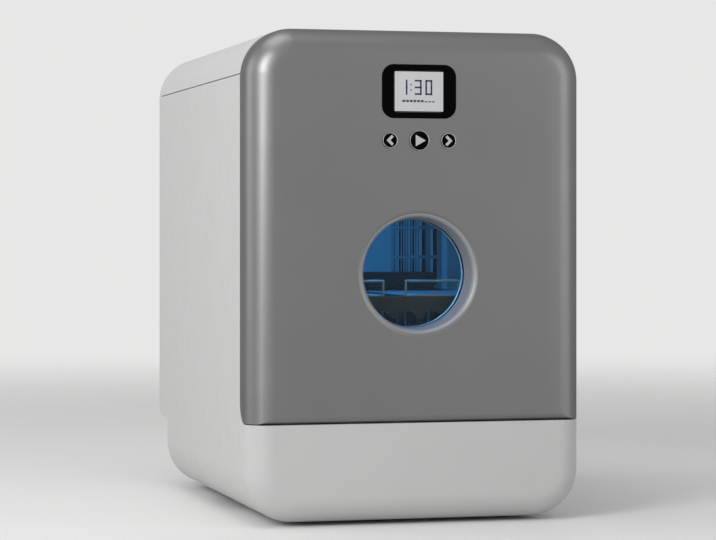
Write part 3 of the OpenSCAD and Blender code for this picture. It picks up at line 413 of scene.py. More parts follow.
def add_lamp(name: str, place: Triple, width: float, height: float, power: float) -> bpy.types.Object:
    """Adds a soft rectangular lamp that shines down.

    Args:
        name: Its name.
        place: Where it hangs, in metres.
        width: Its width, in metres.
        height: Its height, in metres.
        power: Its power, in watts.

    Returns:
        The lamp.
    """
    data = bpy.data.lights.new(name, "AREA")
    data.shape = "RECTANGLE"
    data.size, data.size_y, data.energy = width, height, power
    lamp = add_object(name, data)
    lamp.location = place
    return lamp


class Form:
    """A mesh in the making, in millimetres, shaped by bmesh operators."""

    smooth: float = math.radians(38.0)

    def __init__(self) -> None:
        """Starts an empty mesh."""
        self.bm = bmesh.new()

    def bar(self, low: tuple, high: tuple) -> None:
        """Adds a box between its lowest and its highest corner."""
        a, b = Vector(low), Vector(high)
        matrix = Matrix.Translation((a + b) / 2) @ Matrix.Diagonal((*(b - a), 1.0))
        bmesh.ops.create_cube(self.bm, size=1.0, matrix=matrix)

    def rod(self, start: tuple, end: tuple, radius: float, sides: int) -> None:
        """Adds a round bar.

        Args:
            start: Centre of one end.
            end: Centre of the other end.
            radius: Its radius.
            sides: Number of sides.
        """
        a, b = Vector(start), Vector(end)
        way = b - a
        turn = Vector((0, 0, 1)).rotation_difference(way).to_matrix().to_4x4()
        bmesh.ops.create_cone(self.bm, cap_ends=True, segments=sides, radius1=radius, radius2=radius,
                              depth=way.length, matrix=Matrix.Translation((a + b) / 2) @ turn)

    def wire(self, points: list[tuple], radius: float, sides: int = 10) -> None:
        """Adds a bent wire: round bars with a ball at each end and bend.

        Args:
            points: The points it passes.
            radius: The wire's radius.
            sides: Number of sides.
        """
        for a, b in zip(points, points[1:]):
            self.rod(a, b, radius, sides)
        for point in points:
            bmesh.ops.create_uvsphere(self.bm, u_segments=sides, v_segments=6, radius=radius,
                                      matrix=Matrix.Translation(point))

    def lathe(self, profile: Profile, centre: tuple, axis: Axis, steps: int) -> None:
        """Spins a closed profile round an axis.

        Args:
            profile: Points as (radius, height along the axis), in order round the section.
            centre: A point on the axis, from which height is measured.
            axis: The axis.
            steps: Number of steps in the full turn.
        """
        base = Matrix.Translation(centre) @ axis.turn()
        verts = [self.bm.verts.new(base @ Vector((r, 0.0, h))) for r, h in profile]
        edges = [self.bm.edges.new(pair) for pair in zip(verts, verts[1:] + verts[:1])]
        bmesh.ops.spin(self.bm, geom=verts + edges, cent=centre, axis=axis.value, angle=2 * math.pi,
                       steps=steps, use_merge=True, use_duplicate=False)

    def plate(self, outline: Profile, centre: tuple, depth: float, corner: float) -> None:
        """Adds a flat plate that faces the front, with rounded corners.

        Args:
            outline: Points as (across, up) from the centre, in order.
            centre: Middle of the plate's front.
            depth: Its thickness, backwards.
            corner: Radius of its corners.
        """
        x, y, z = centre
        face = self.bm.faces.new([self.bm.verts.new((x + a, y, z + b)) for a, b in outline])
        back = self.extrude([face], (0.0, depth, 0.0))
        edges = {e for v in back for e in v.link_edges}
        uprights = [e for e in edges if abs((e.verts[0].co - e.verts[1].co).normalized().y) > 0.9]
        self.bevel(uprights, corner, 4)

    def extrude(self, faces: list, way: Triple) -> list[bmesh.types.BMVert]:
        """Pulls faces out into a solid.

        Args:
            faces: The faces.
            way: How far they move.

        Returns:
            The vertices that moved.
        """
        grown = bmesh.ops.extrude_face_region(self.bm, geom=faces)["geom"]
        verts = [g for g in grown if isinstance(g, bmesh.types.BMVert)]
        bmesh.ops.translate(self.bm, vec=way, verts=verts)
        return verts

    def bevel(self, edges: list, width: float, segments: int) -> list[bmesh.types.BMFace]:
        """Rounds edges by a width in a number of strips, and gives the faces of the rounding."""
        return bmesh.ops.bevel(self.bm, geom=edges, offset=width, offset_type="OFFSET", affect="EDGES",
                               segments=segments, profile=0.5, clamp_overlap=True, material=-1)["faces"]

    def round_edges(self, width: float, segments: int, angle: float) -> bmesh.types.BMLayerItem:
        """Rounds every edge sharper than an angle.

        Args:
            width: Width of the rounding.
            segments: Number of strips in it.
            angle: Least angle between faces, in degrees.

        Returns:
            The layer that marks the faces of the rounding.
        """
        soft = self.bm.faces.layers.int.new("soft")
        sharp = [e for e in self.bm.edges if e.is_manifold and e.calc_face_angle(0.0) > math.radians(angle)]
        for face in self.bevel(sharp, width, segments):
            face[soft] = 1
        return soft

    def finish(self, name: str, material: bpy.types.Material,
               normals: list | None = None) -> bpy.types.Object:
        """Turns the mesh into an object in metres, smooth over shallow angles.

        Args:
            name: The piece's name.
            material: Its finish.
            normals: A normal for each corner of each face, where the faces already point outward.

        Returns:
            The new object.
        """
        if normals is None:
            bmesh.ops.recalc_face_normals(self.bm, faces=self.bm.faces)
        bmesh.ops.scale(self.bm, vec=(MM, MM, MM), verts=self.bm.verts)
        mesh = bpy.data.meshes.new(name)
        self.bm.to_mesh(mesh)
        self.bm.free()
        for polygon in mesh.polygons:
            polygon.use_smooth = True
        if normals is None:
            mesh.set_sharp_from_angle(angle=self.smooth)
        else:
            mesh.normals_split_custom_set(normals)
        mesh.materials.append(material)
        return add_object(name, mesh)


class FlatShading:
    """Corner normals that keep flats flat: each corner follows the largest surface that meets smoothly there.

    Coplanar faces count as one surface, so that it doesn't matter how a flat is cut into faces.
    """

    flat: float = math.radians(0.6)

    def __init__(self, bm: bmesh.types.BMesh, soft: bmesh.types.BMLayerItem, crease: float) -> None:
        """Measures the mesh's surfaces.

        Args:
            bm: The mesh.
            soft: Layer that marks the faces of its rounded edges, which follow the surfaces beside them.
            crease: Least angle of an edge that stays sharp, in degrees.
        """
        self.bm, self.soft, self.crease = bm, soft, math.radians(crease)
        self.surface: dict = {}
        self.area: list[float] = []
        for face in bm.faces:
            if face not in self.surface:
                self.area.append(self._flood(face, len(self.area)))

    def _flood(self, start: bmesh.types.BMFace, index: int) -> float:
        """Marks the flat surface round a face and gives its area."""
        self.surface[start] = index
        waiting, area = [start], 0.0
        while waiting:
            face = waiting.pop()
            area += face.calc_area()
            for edge in face.edges:
                if len(edge.link_faces) == 2 and edge.calc_face_angle(0.0) < self.flat:
                    for other in edge.link_faces:
                        if other not in self.surface:
                            self.surface[other] = index
                            waiting.append(other)
        return area

    def _fans(self, vert: bmesh.types.BMVert) -> list[list]:
        """Splits the faces round a vertex where a sharp edge parts them."""
        smooth = {edge for edge in vert.link_edges
                  if len(edge.link_faces) == 2 and edge.calc_face_angle(0.0) < self.crease}
        left, fans = set(vert.link_faces), []
        while left:
            fan, waiting = [], [left.pop()]
            while waiting:
                face = waiting.pop()
                fan.append(face)
                near = {other for edge in smooth.intersection(face.edges) for other in edge.link_faces} & left
                left -= near
                waiting += near
            fans.append(fan)
        return fans

    def normals(self) -> list[Vector]:
        """Gives a normal for each corner of each face, in order."""
        corner: dict = {}
        for vert in self.bm.verts:
            for fan in self._fans(vert):
                firm = [face for face in fan if not face[self.soft]] or fan
                seen = {self.surface[face]: face.normal for face in firm}
                total = sum((normal * self.area[index] for index, normal in seen.items()), Vector())
                normal = total.normalized() if total.length else fan[0].normal.copy()
                for face in fan:
                    corner[face, vert] = normal
        return [corner[face, vert] for face in self.bm.faces for vert in face.verts]


class SoftCopy:
    """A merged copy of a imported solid, its sharp edges rounded a little as a press or mould leaves them."""

    sharp: float = 50.0
    strips: int = 2
    weld_metres: float = 1e-5
    least_edge: float = 0.01

    def __init__(self, node: bpy.types.Object, width: float) -> None:
        """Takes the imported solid's object and the width of the rounding."""
        self.node, self.width = node, width

    def build(self, name: str, material: bpy.types.Material) -> bpy.types.Object:
        """Makes the copy.

        Args:
            name: The new piece's name.
            material: Its finish.

        Returns:
            The new object.
        """
        form = Form()
        form.bm.from_mesh(self.node.data)
        bmesh.ops.remove_doubles(form.bm, verts=form.bm.verts, dist=self.weld_metres)
        bmesh.ops.scale(form.bm, vec=(1 / MM,) * 3, verts=form.bm.verts)
        bmesh.ops.dissolve_limit(form.bm, angle_limit=FlatShading.flat, verts=form.bm.verts,
                                 edges=form.bm.edges, delimit={"NORMAL"})
        soft = form.round_edges(self.width, self.strips, self.sharp)
        bmesh.ops.dissolve_degenerate(form.bm, dist=self.least_edge, edges=form.bm.edges)
        self.refine(form.bm)
        bmesh.ops.triangulate(form.bm, faces=[face for face in form.bm.faces if len(face.verts) > 4])
        form.bm.normal_update()
        normals = self.turned(form.bm, FlatShading(form.bm, soft, self.sharp).normals())
        form.bm.faces.layers.int.remove(soft)
        return form.finish(name, material, normals)

    def refine(self, bm: bmesh.types.BMesh) -> None:
        """Cuts a mesh finer where its shading needs it; a plain copy needs nothing."""

    def turned(self, bm: bmesh.types.BMesh, normals: list[Vector]) -> list[Vector]:
        """Turns the corner normals; a plain copy leaves them.

        Args:
            bm: The mesh.
            normals: A normal for each corner of each face, in order.

        Returns:
            The normals to use.
        """
        return normals


class CrownedCopy(SoftCopy):
    """A softened copy of the door's skin, whose shading eases from its rounded sides and top into the flat.

    The flat has a half width, a top and round upper corners. Its normals lean outward by the tilt at its
    border, and less and less up to the reach. Inside the border, only normals within the range of the face
    are turned, and outside it only those short of the side.
    """

    half: float = 147.5
    top: float = 465.5
    corner: float = 22.0
    reach: float = 26.0
    tilt: float = math.radians(5.0)
    cuts: tuple[float, ...] = (3.0, 8.0, 14.0, 20.0)
    face_range: float = 0.12
    straight_on: float = 0.02
    side_on: float = math.radians(88.0)
    margin: float = 0.01

    def refine(self, bm: bmesh.types.BMesh) -> None:
        """Cuts the flat front along its borders."""
        planes = [((side * (self.half - cut), 0.0, 0.0), (1.0, 0.0, 0.0))
                  for cut in self.cuts for side in (-1, 1)]
        planes += [((0.0, 0.0, self.top - cut), (0.0, 0.0, 1.0)) for cut in self.cuts]
        bm.normal_update()
        for place, direction in planes:
            faces = [face for face in bm.faces if face.normal.y < -0.999]
            edges = {edge for face in faces for edge in face.edges}
            verts = {vert for face in faces for vert in face.verts}
            bmesh.ops.bisect_plane(bm, geom=[*verts, *edges, *faces], dist=1e-4, plane_co=place,
                                   plane_no=direction)

    def border(self, place: Vector) -> tuple[float, Vector]:
        """Measures how far inside the flat's border a point lies.

        Args:
            place: The point.

        Returns:
            The distance, negative outside, and the direction outward.
        """
        across, up = abs(place.x) - self.half + self.corner, place.z - self.top + self.corner
        side = math.copysign(1.0, place.x)
        if across > 0.0 and up > 0.0:
            far = math.hypot(across, up)
            return self.corner - far, Vector((side * across / far, 0.0, up / far))
        if across > up:
            return self.corner - across, Vector((side, 0.0, 0.0))
        return self.corner - up, Vector((0.0, 0.0, 1.0))

    def turned(self, bm: bmesh.types.BMesh, normals: list[Vector]) -> list[Vector]:
        """Turns the normals of the front outward near its sides and top, and keeps upright strips upright."""
        corners = [(face, vert.co) for face in bm.faces for vert in face.verts]
        for index, (face, place) in enumerate(corners):
            normal = normals[index].copy()
            if abs(face.normal.z) < 0.01 and abs(normal.z) < 0.9:
                normal.z = 0.0
                normal.normalize()
            normals[index] = self.eased(place, normal)
        return normals

    def eased(self, place: Vector, normal: Vector) -> Vector:
        """Turns one normal.

        Args:
            place: Where it stands.
            normal: The normal.

        Returns:
            The turned normal.
        """
        inside, outward = self.border(place)
        angle = math.acos(max(-1.0, min(1.0, -normal.y)))
        if inside >= self.reach or angle > self.side_on or normal.dot(outward) < -1e-4:
            return normal
        if inside > -self.margin:
            if angle > self.face_range:
                return normal
            angle = self.tilt * (1.0 - max(inside, 0.0) / self.reach) ** 2
        else:
            if angle > self.straight_on:
                outward = Vector((normal.x, 0.0, normal.z)).normalized()
            angle = self.tilt + angle * (1.0 - 2.0 * self.tilt / math.pi)
        return Vector((0.0, -math.cos(angle), 0.0)) + outward * math.sin(angle)


class Shop:
    """What every sub-assembly works with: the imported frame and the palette."""

    def __init__(self, frame: dict) -> None:
        """Takes the loaded frame, and reads each solid's body and material slot from its record."""
        record = frame["record"]
        self.nodes = frame["nodes"]
        self.palette = Palette()
        self.bodies = {node: body for body, nodes in record["behaviour"]["bodies"].items() for node in nodes}
        self.slots = {part["node"]: part["material_slot"] for part in record["subparts"]}

    def box(self, name: str) -> tuple[Vector, Vector]:
        """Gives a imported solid's lowest and highest corner, in millimetres."""
        low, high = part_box(name)
        return low / MM, high / MM

    def dress(self, name: str, finish: str) -> None:
        """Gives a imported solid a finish.

        Args:
            name: The solid's name.
            finish: The finish's name.
        """
        target = self.nodes[name]
        material = self.palette.get(finish)
        if target.data.materials:
            for index in range(len(target.data.materials)):
                target.data.materials[index] = material
        else:
            target.data.materials.append(material)
        LOG.info("dressed %s in %s", name, finish)

    def place(self, piece: bpy.types.Object, body: str, slot: str, *replaced: str) -> None:
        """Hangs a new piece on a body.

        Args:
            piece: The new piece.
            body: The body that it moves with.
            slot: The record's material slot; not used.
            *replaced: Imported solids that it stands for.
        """
        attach(piece, body)
        if replaced:
            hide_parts(*replaced)
        LOG.info("made %s on %s, %d faces", piece.name, body, len(piece.data.polygons))

    def make(self, form: Form, name: str, finish: str, body: str, slot: str, *replaced: str) -> None:
        """Turns a mesh into a new piece with a name and a finish, and hangs it on a body as place() does."""
        self.place(form.finish(name, self.palette.get(finish)), body, slot, *replaced)

    def soften(self, node: str, width: float, kind: type[SoftCopy] = SoftCopy) -> None:
        """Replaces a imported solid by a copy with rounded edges.

        Args:
            node: The solid's name.
            width: Width of the rounding.
            kind: The kind of copy.
        """
        slot = self.slots[node]
        copy = kind(self.nodes[node], width).build(node + "_soft", self.palette.get(slot))
        self.place(copy, self.bodies[node], slot, node)


# ---------------------------------------------------------------- sub-assemblies


@dataclass
class Cabinet:
    """The white shells and the filler lid with its mark."""

    shop: Shop
    edge: float = 0.6
    lid_edge: float = 0.4
    drop_r: float = 3.0
    drop_back: float = 6.0
    drop_waist: float = 0.4
    drop_sunk: float = 0.25
    drop_t: float = 0.2

    def build(self) -> None:
        """Builds and dresses the cabinet."""
        for node in ("outer_shell", "top_cover", "rear_cover"):
            self.shop.soften(node, self.edge)
        self.shop.soften("filler_lid", self.lid_edge)
        self.filler_mark()

    def filler_mark(self) -> None:
        """Builds the small water drop inlaid in the filler lid."""
        low, high = self.shop.box("filler_lid")
        x, y = (low.x + high.x) / 2, (low.y + high.y) / 2 - self.drop_back
        form = Form()
        circle = bmesh.ops.create_circle(form.bm, cap_ends=True, segments=40, radius=self.drop_r,
                                         matrix=Matrix.Translation((x, y, high.z - self.drop_sunk)))["verts"]
        for vert in [v for v in circle if v.co.y > y]:
            rise = (vert.co.y - y) / self.drop_r
            vert.co.y += rise ** 3 * self.drop_r
            vert.co.x = x + (vert.co.x - x) * (1.0 - self.drop_waist * rise)
        form.extrude(form.bm.faces[:], (0, 0, self.drop_t))
        self.shop.make(form, "filler_mark", "grey_plastic", "filler_lid", "grey_plastic")


@dataclass
class Door:
    """The metal door skin with its window, and the parts behind it."""

    shop: Shop
    edge: float = 0.45
    roll: float = 7.0
    throat: float = 56.0
    lip_angle: int = 60
    lip_step: int = 5
    lip_tip: float = 0.1
    lip_t: float = 0.5
    lip_gap: float = 0.03
    lip_depth: float = 0.05
    ring_t: float = 0.6
    ring_taper: float = 2.4
    ring_wall: float = 0.8
    seat_t: float = 2.0
    steps: int = 128

    def build(self) -> None:
        """Builds and dresses the door."""
        self.shop.soften("door_fascia", self.edge, CrownedCopy)
        for node, width in (("door_liner", 0.4), ("dispenser_tray", 0.3), ("dispenser_lid", 0.3)):
            self.shop.soften(node, width)
        self.shop.dress("window_seal", "seal_grey")
        self.window_trim()

    def window_trim(self) -> None:
        """Builds the pale ring in the window: a smooth funnel that laps over the rolled lip of the metal."""
        low, high = self.shop.box("window_bezel")
        seat, back = (high.x - low.x) / 2, high.y - low.y
        front = self.shop.box("door_fascia")[0].y - low.y
        throat, rear = self.throat, back - self.seat_t
        inner = [(throat - self.ring_t, -self.ring_t), (throat - self.ring_taper, back), (seat, back),
                 (seat, rear), (throat + self.ring_wall, rear), (throat + self.ring_wall, self.lip_depth),
                 (throat - self.lip_gap, self.lip_depth)]
        over = range(self.lip_angle - self.lip_step + 1, -1, -self.lip_step)
        under = range(0, self.lip_angle + 1, self.lip_step)
        form = Form()
        form.lathe([self.on_roll(self.lip_angle, self.lip_tip, front)]
                   + [self.on_roll(angle, self.lip_t, front) for angle in over] + inner
                   + [self.on_roll(angle, self.lip_gap, front) for angle in under],
                   ((low.x + high.x) / 2, low.y, (low.z + high.z) / 2), Axis.Y, self.steps)
        slot = self.shop.slots["window_bezel"]
        self.shop.make(form, "window_trim", "bright_trim", "door", slot, "window_bezel")

    def on_roll(self, angle: float, off: float, front: float) -> tuple[float, float]:
        """Gives a point over the metal's rolled lip.

        Args:
            angle: How far round the lip it lies, in degrees: 0 in the hole, 90 on the face.
            off: Its distance from the metal.
            front: Depth of the metal's face.

        Returns:
            Its radius and depth.
        """
        reach, turn = self.roll + off, math.radians(angle)
        return (self.throat + self.roll - reach * math.cos(turn), front + self.roll - reach * math.sin(turn))


class Segment(Enum):
    """The seven bars of a digit: offset of the middle in (width, height) and whether it lies flat."""

    TOP = (0.0, 1.0, True)
    MIDDLE = (0.0, 0.0, True)
    BOTTOM = (0.0, -1.0, True)
    UPPER_LEFT = (-1.0, 0.5, False)
    UPPER_RIGHT = (1.0, 0.5, False)
    LOWER_LEFT = (-1.0, -0.5, False)
    LOWER_RIGHT = (1.0, -0.5, False)


DIGITS: dict[str, tuple[Segment, ...]] = {
    "0": (Segment.TOP, Segment.BOTTOM, Segment.UPPER_LEFT, Segment.UPPER_RIGHT,
          Segment.LOWER_LEFT, Segment.LOWER_RIGHT),
    "1": (Segment.UPPER_RIGHT, Segment.LOWER_RIGHT),
    "3": (Segment.TOP, Segment.MIDDLE, Segment.BOTTOM, Segment.UPPER_RIGHT, Segment.LOWER_RIGHT),
}


@dataclass
class Display:
    """The dark surround, the lit screen, and the time left drawn on it in plain bars."""

    shop: Shop
    edge: float = 0.35
    proud: float = 0.05
    sunk: float = 0.2
    digit_w: float = 4.2
    digit_h: float = 6.6
    stroke: float = 1.7
    spread: float = 0.6
    step: float = 10.4
    rise: float = 4.0
    places: tuple[tuple[str, float], ...] = (("1", -1.48), ("3", -0.08), ("0", 0.97))
    colon: float = -0.78
    colon_h: float = 2.6
    dot_r: float = 0.75
    bar_w: float = 34.0
    bars: int = 9
    bars_done: int = 6
    bar_gap: float = 0.9
    bar_foot: float = 10.6
    bar_line: float = 10.0
    bar_done_h: float = 1.6
    bar_left_h: float = 0.5
    border_w: float = 0.6
    border_h: float = 0.9

    def build(self) -> None:
        """Builds the surround, the figures and the screen's border."""
        self.shop.soften("display_lens", self.edge)
        low, high = self.shop.box("lcd_screen")
        self.figures((low.x + high.x) / 2, (low.z + high.z) / 2, low.y)
        self.border(low, high)

    def figures(self, x: float, z: float, y: float) -> None:
        """Builds the time and the row of bars under it.

        Args:
            x: The screen's middle across.
            z: The screen's middle in height.
            y: The screen's front.
        """
        form = Form()
        front, back, line = y - self.proud, y + self.sunk, z + self.rise
        for which, place in self.places:
            self.digit(form, which, (x + place * self.step, line), front, back)
        dot = x + self.colon * self.step
        for up in (-self.colon_h, self.colon_h):
            form.rod((dot, back, line + up), (dot, front, line + up), self.dot_r, 16)
        pitch = self.bar_w / self.bars
        for i in range(self.bars):
            left = x - self.bar_w / 2 + i * pitch
            top = z - self.bar_line + (self.bar_done_h if i < self.bars_done else self.bar_left_h)
            form.bar((left, front, z - self.bar_foot), (left + pitch - self.bar_gap, back, top))
        self.shop.make(form, "screen_figures", "ink", "door", "dark_plastic")

    def digit(self, form: Form, which: str, middle: tuple[float, float], front: float, back: float) -> None:
        """Adds a digit made of bars.

        Args:
            form: The mesh it is added to.
            which: The digit.
            middle: Its middle, across and up.
            front: Depth of its front.
            back: Depth of its back.
        """
        w, h, t = self.digit_w / 2 + self.spread, self.digit_h, self.stroke / 2
        for segment in DIGITS[which]:
            across, up, flat = segment.value
            cx, cz = middle[0] + across * w, middle[1] + up * h
            dx, dz = (w + t, t) if flat else (t, h / 2 + t)
            form.bar((cx - dx, front, cz - dz), (cx + dx, back, cz + dz))

    def border(self, low: Vector, high: Vector) -> None:
        """Builds the unlit border of the screen.

        Args:
            low: The screen's lowest corner.
            high: Its highest corner.
        """
        front, back, wide, tall = low.y - self.proud, low.y + self.sunk, self.border_w, self.border_h
        form = Form()
        form.bar((low.x, front, low.z), (low.x + wide, back, high.z))
        form.bar((high.x - wide, front, low.z), (high.x, back, high.z))
        form.bar((low.x + wide, front, low.z), (high.x - wide, back, low.z + tall))
        form.bar((low.x + wide, front, high.z - tall), (high.x - wide, back, high.z))
        self.shop.make(form, "screen_border", "gloss_black", "door", "dark_plastic")


class Glyph(Enum):
    """The mark on a button."""

    BACK = "button_back"
    PLAY = "button_play"
    NEXT = "button_next"


@dataclass
class Buttons:
    """The three round buttons: a bright rim, a black face and a moulded mark."""

    shop: Shop
    reach: float = 7.6
    stroke: float = 2.7
    tip: float = 3.8
    triangle: tuple[tuple[float, float], ...] = ((-4.0, -5.7), (6.4, 0.0), (-4.0, 5.7))
    mark_t: float = 0.15
    mark_corner: float = 0.45
    inset: float = 0.1
    rim: float = 0.4
    well: float = 0.6
    flange: float = 1.5
    collar: float = 4.6
    stem_r: float = 2.5
    steps: int = 72

    def build(self) -> None:
        """Builds each button and its mark."""
        for glyph in Glyph:
            name = glyph.value
            low, high = self.shop.box(name)
            centre = ((low.x + high.x) / 2, low.y, (low.z + high.z) / 2)
            radius = (high.x - low.x) / 2 - self.flange
            self.body(name, centre, radius, high.y - low.y)
            self.face(name, centre, radius - self.rim)
            self.mark(glyph, centre)

    def body(self, name: str, centre: tuple, radius: float, length: float) -> None:
        """Builds a button's turned body: rim, flange behind the door's skin, and stem.

        Args:
            name: The button.
            centre: Middle of its front.
            radius: The radius that shows.
            length: Its whole length.
        """
        inner, outer, collar, stem = radius - self.rim, radius + self.flange, self.collar, self.stem_r
        form = Form()
        form.lathe([(0.0, self.well), (inner, self.well), (inner, 0.06), (inner + 0.06, 0.0),
                    (radius - 0.22, 0.0), (radius - 0.06, 0.06), (radius, 0.22), (radius, collar),
                    (outer - 0.2, collar), (outer, collar + 0.2), (outer, collar + 1.3),
                    (outer - 0.2, collar + 1.5), (stem, collar + 1.5), (stem, length - 0.3),
                    (stem - 0.3, length), (0.0, length)],
                   centre, Axis.Y, self.steps)
        self.shop.make(form, name + "_turned", "button_rim", name, self.shop.slots[name], name)

    def face(self, name: str, centre: tuple, radius: float) -> None:
        """Builds the black disc on a button's front.

        Args:
            name: The button.
            centre: Middle of its front.
            radius: The disc's radius.
        """
        d, side = self.inset, radius - 0.01
        form = Form()
        form.lathe([(0.0, d), (radius - 0.15, d), (radius - 0.04, d + 0.04), (side, d + 0.15),
                    (side, d + 0.45), (0.0, d + 0.45)], centre, Axis.Y, self.steps)
        self.shop.make(form, name + "_face", "gloss_black", name, "gloss_black")

    def mark(self, glyph: Glyph, centre: tuple) -> None:
        """Builds the mark on one button.

        Args:
            glyph: Which button.
            centre: Middle of its front.
        """
        outline = list(self.triangle)
        if glyph is not Glyph.PLAY:
            side = -1.0 if glyph is Glyph.BACK else 1.0
            c = math.cos(math.radians(45.0))
            tip, across, leg = self.tip, self.reach * c, self.stroke * c
            outline = [(tip, 0.0), (tip - across, across), (tip - across - leg, across - leg),
                       (tip - 2 * leg, 0.0), (tip - across - leg, leg - across), (tip - across, -across)]
            outline = [(side * x, z) for x, z in outline]
        form = Form()
        form.plate(outline, centre, self.inset + self.mark_t, self.mark_corner)
        name = glyph.value.replace("button", "mark")
        self.shop.make(form, name, "glyph", glyph.value, "grey_plastic")


@dataclass
class CupShelf:
    """A folding shelf of round wire with a raised loop along its front."""

    shop: Shop
    side: float
    wire_r: float = 1.45
    rise: float = 1.7
    tube_r: float = 2.9
    tube_in: float = 3.0
    tube_start: float = 8.0
    post_in: float = 11.0
    loop_w: float = 55.0
    loop_gap: float = 6.0
    cross_wires: int = 7

    def build(self) -> None:
        """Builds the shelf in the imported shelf's place."""
        which = "right" if self.side > 0 else "left"
        name = "cup_shelf_" + which
        low, high = self.shop.box(name)
        r = self.wire_r
        inner, fold = low.x + r, high.x - self.tube_in
        if self.side < 0:
            inner, fold = high.x - r, low.x + self.tube_in
        edge = fold - self.side * self.post_in
        middle = inner + self.side * self.loop_w
        bridge = middle + self.side * self.loop_gap
        y0, y1 = low.y + r, high.y - r
        z, top = low.z + self.rise, high.z - r
        form = Form()
        for near, far in ((edge, bridge), (inner, middle)):
            form.wire([(near, y1, z), (near, y0, z), (near, y0, top), (far, y0, top), (far, y0, z)], r, 12)
        step = (y1 - y0) / (self.cross_wires - 1)
        for i in range(1, self.cross_wires):
            form.wire([(inner, y0 + i * step, z), (fold, y0 + i * step, z)], r)
        form.wire([(inner, y0, z), (edge, y0, z)], r)
        form.rod((fold, y0 + self.tube_start, z), (fold, y1 + r, z), self.tube_r, 20)
        self.shop.make(form, name + "_wire", "wire", "shelf_" + which, "rack_plastic", name)


@dataclass
class Rack:
    """The sliding rack: moulded basket, wire tines, rollers and shelves."""

    shop: Shop
    edge: float = 0.5
    tine_r: float = 1.45
    tines_in_row: int = 9
    tine_in: float = 2.0
    row_in: float = 1.5
    roller_w: float = 5.0

    def build(self) -> None:
        """Builds and dresses the rack."""
        for node in ("rack_basket", "rack_rim", "cutlery_basket"):
            self.shop.soften(node, self.edge)
        self.tines()
        for side in (-1.0, 1.0):
            CupShelf(self.shop, side).build()
        for name in ("front_rollers", "rear_rollers"):
            self.roller_pair(name)

    def tines(self) -> None:
        """Builds the plate tines as round wires with domed tips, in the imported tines' place."""
        low, high = self.shop.box("plate_tines")
        r, pitch = self.tine_r, (high.x - low.x - 2 * self.tine_in) / (self.tines_in_row - 1)
        form = Form()
        for y in (low.y + self.row_in, high.y - self.row_in):
            form.wire([(low.x + r, y, low.z + r), (high.x - r, y, low.z + r)], r)
            for i in range(self.tines_in_row):
                x = low.x + self.tine_in + i * pitch
                form.wire([(x, y, low.z + r), (x, y, high.z - r)], r)
        self.shop.make(form, "plate_tines_wire", "wire", "rack", "rack_plastic", "plate_tines")

    def roller_pair(self, name: str) -> None:
        """Builds a pair of rollers with a grooved tread and a recessed hub.

        Args:
            name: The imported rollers' name, also their body's.
        """
        low, high = self.shop.box(name)
        y, z, r, w = (low.y + high.y) / 2, (low.z + high.z) / 2, (high.z - low.z) / 2, self.roller_w
        half = [(2.05, 0.0), (3.6, 0.0), (3.9, 0.7), (5.4, 0.7), (5.7, 0.0), (r - 0.5, 0.0), (r, 0.5),
                (r, 1.9), (r - 0.5, 2.2)]
        profile = half + [(radius, w - depth) for radius, depth in reversed(half)]
        form = Form()
        for x in (low.x, high.x - w):
            form.lathe(profile, (x, y, z), Axis.X, 36)
        self.shop.make(form, name + "_turned", "white_plastic", name, "white_plastic", name)


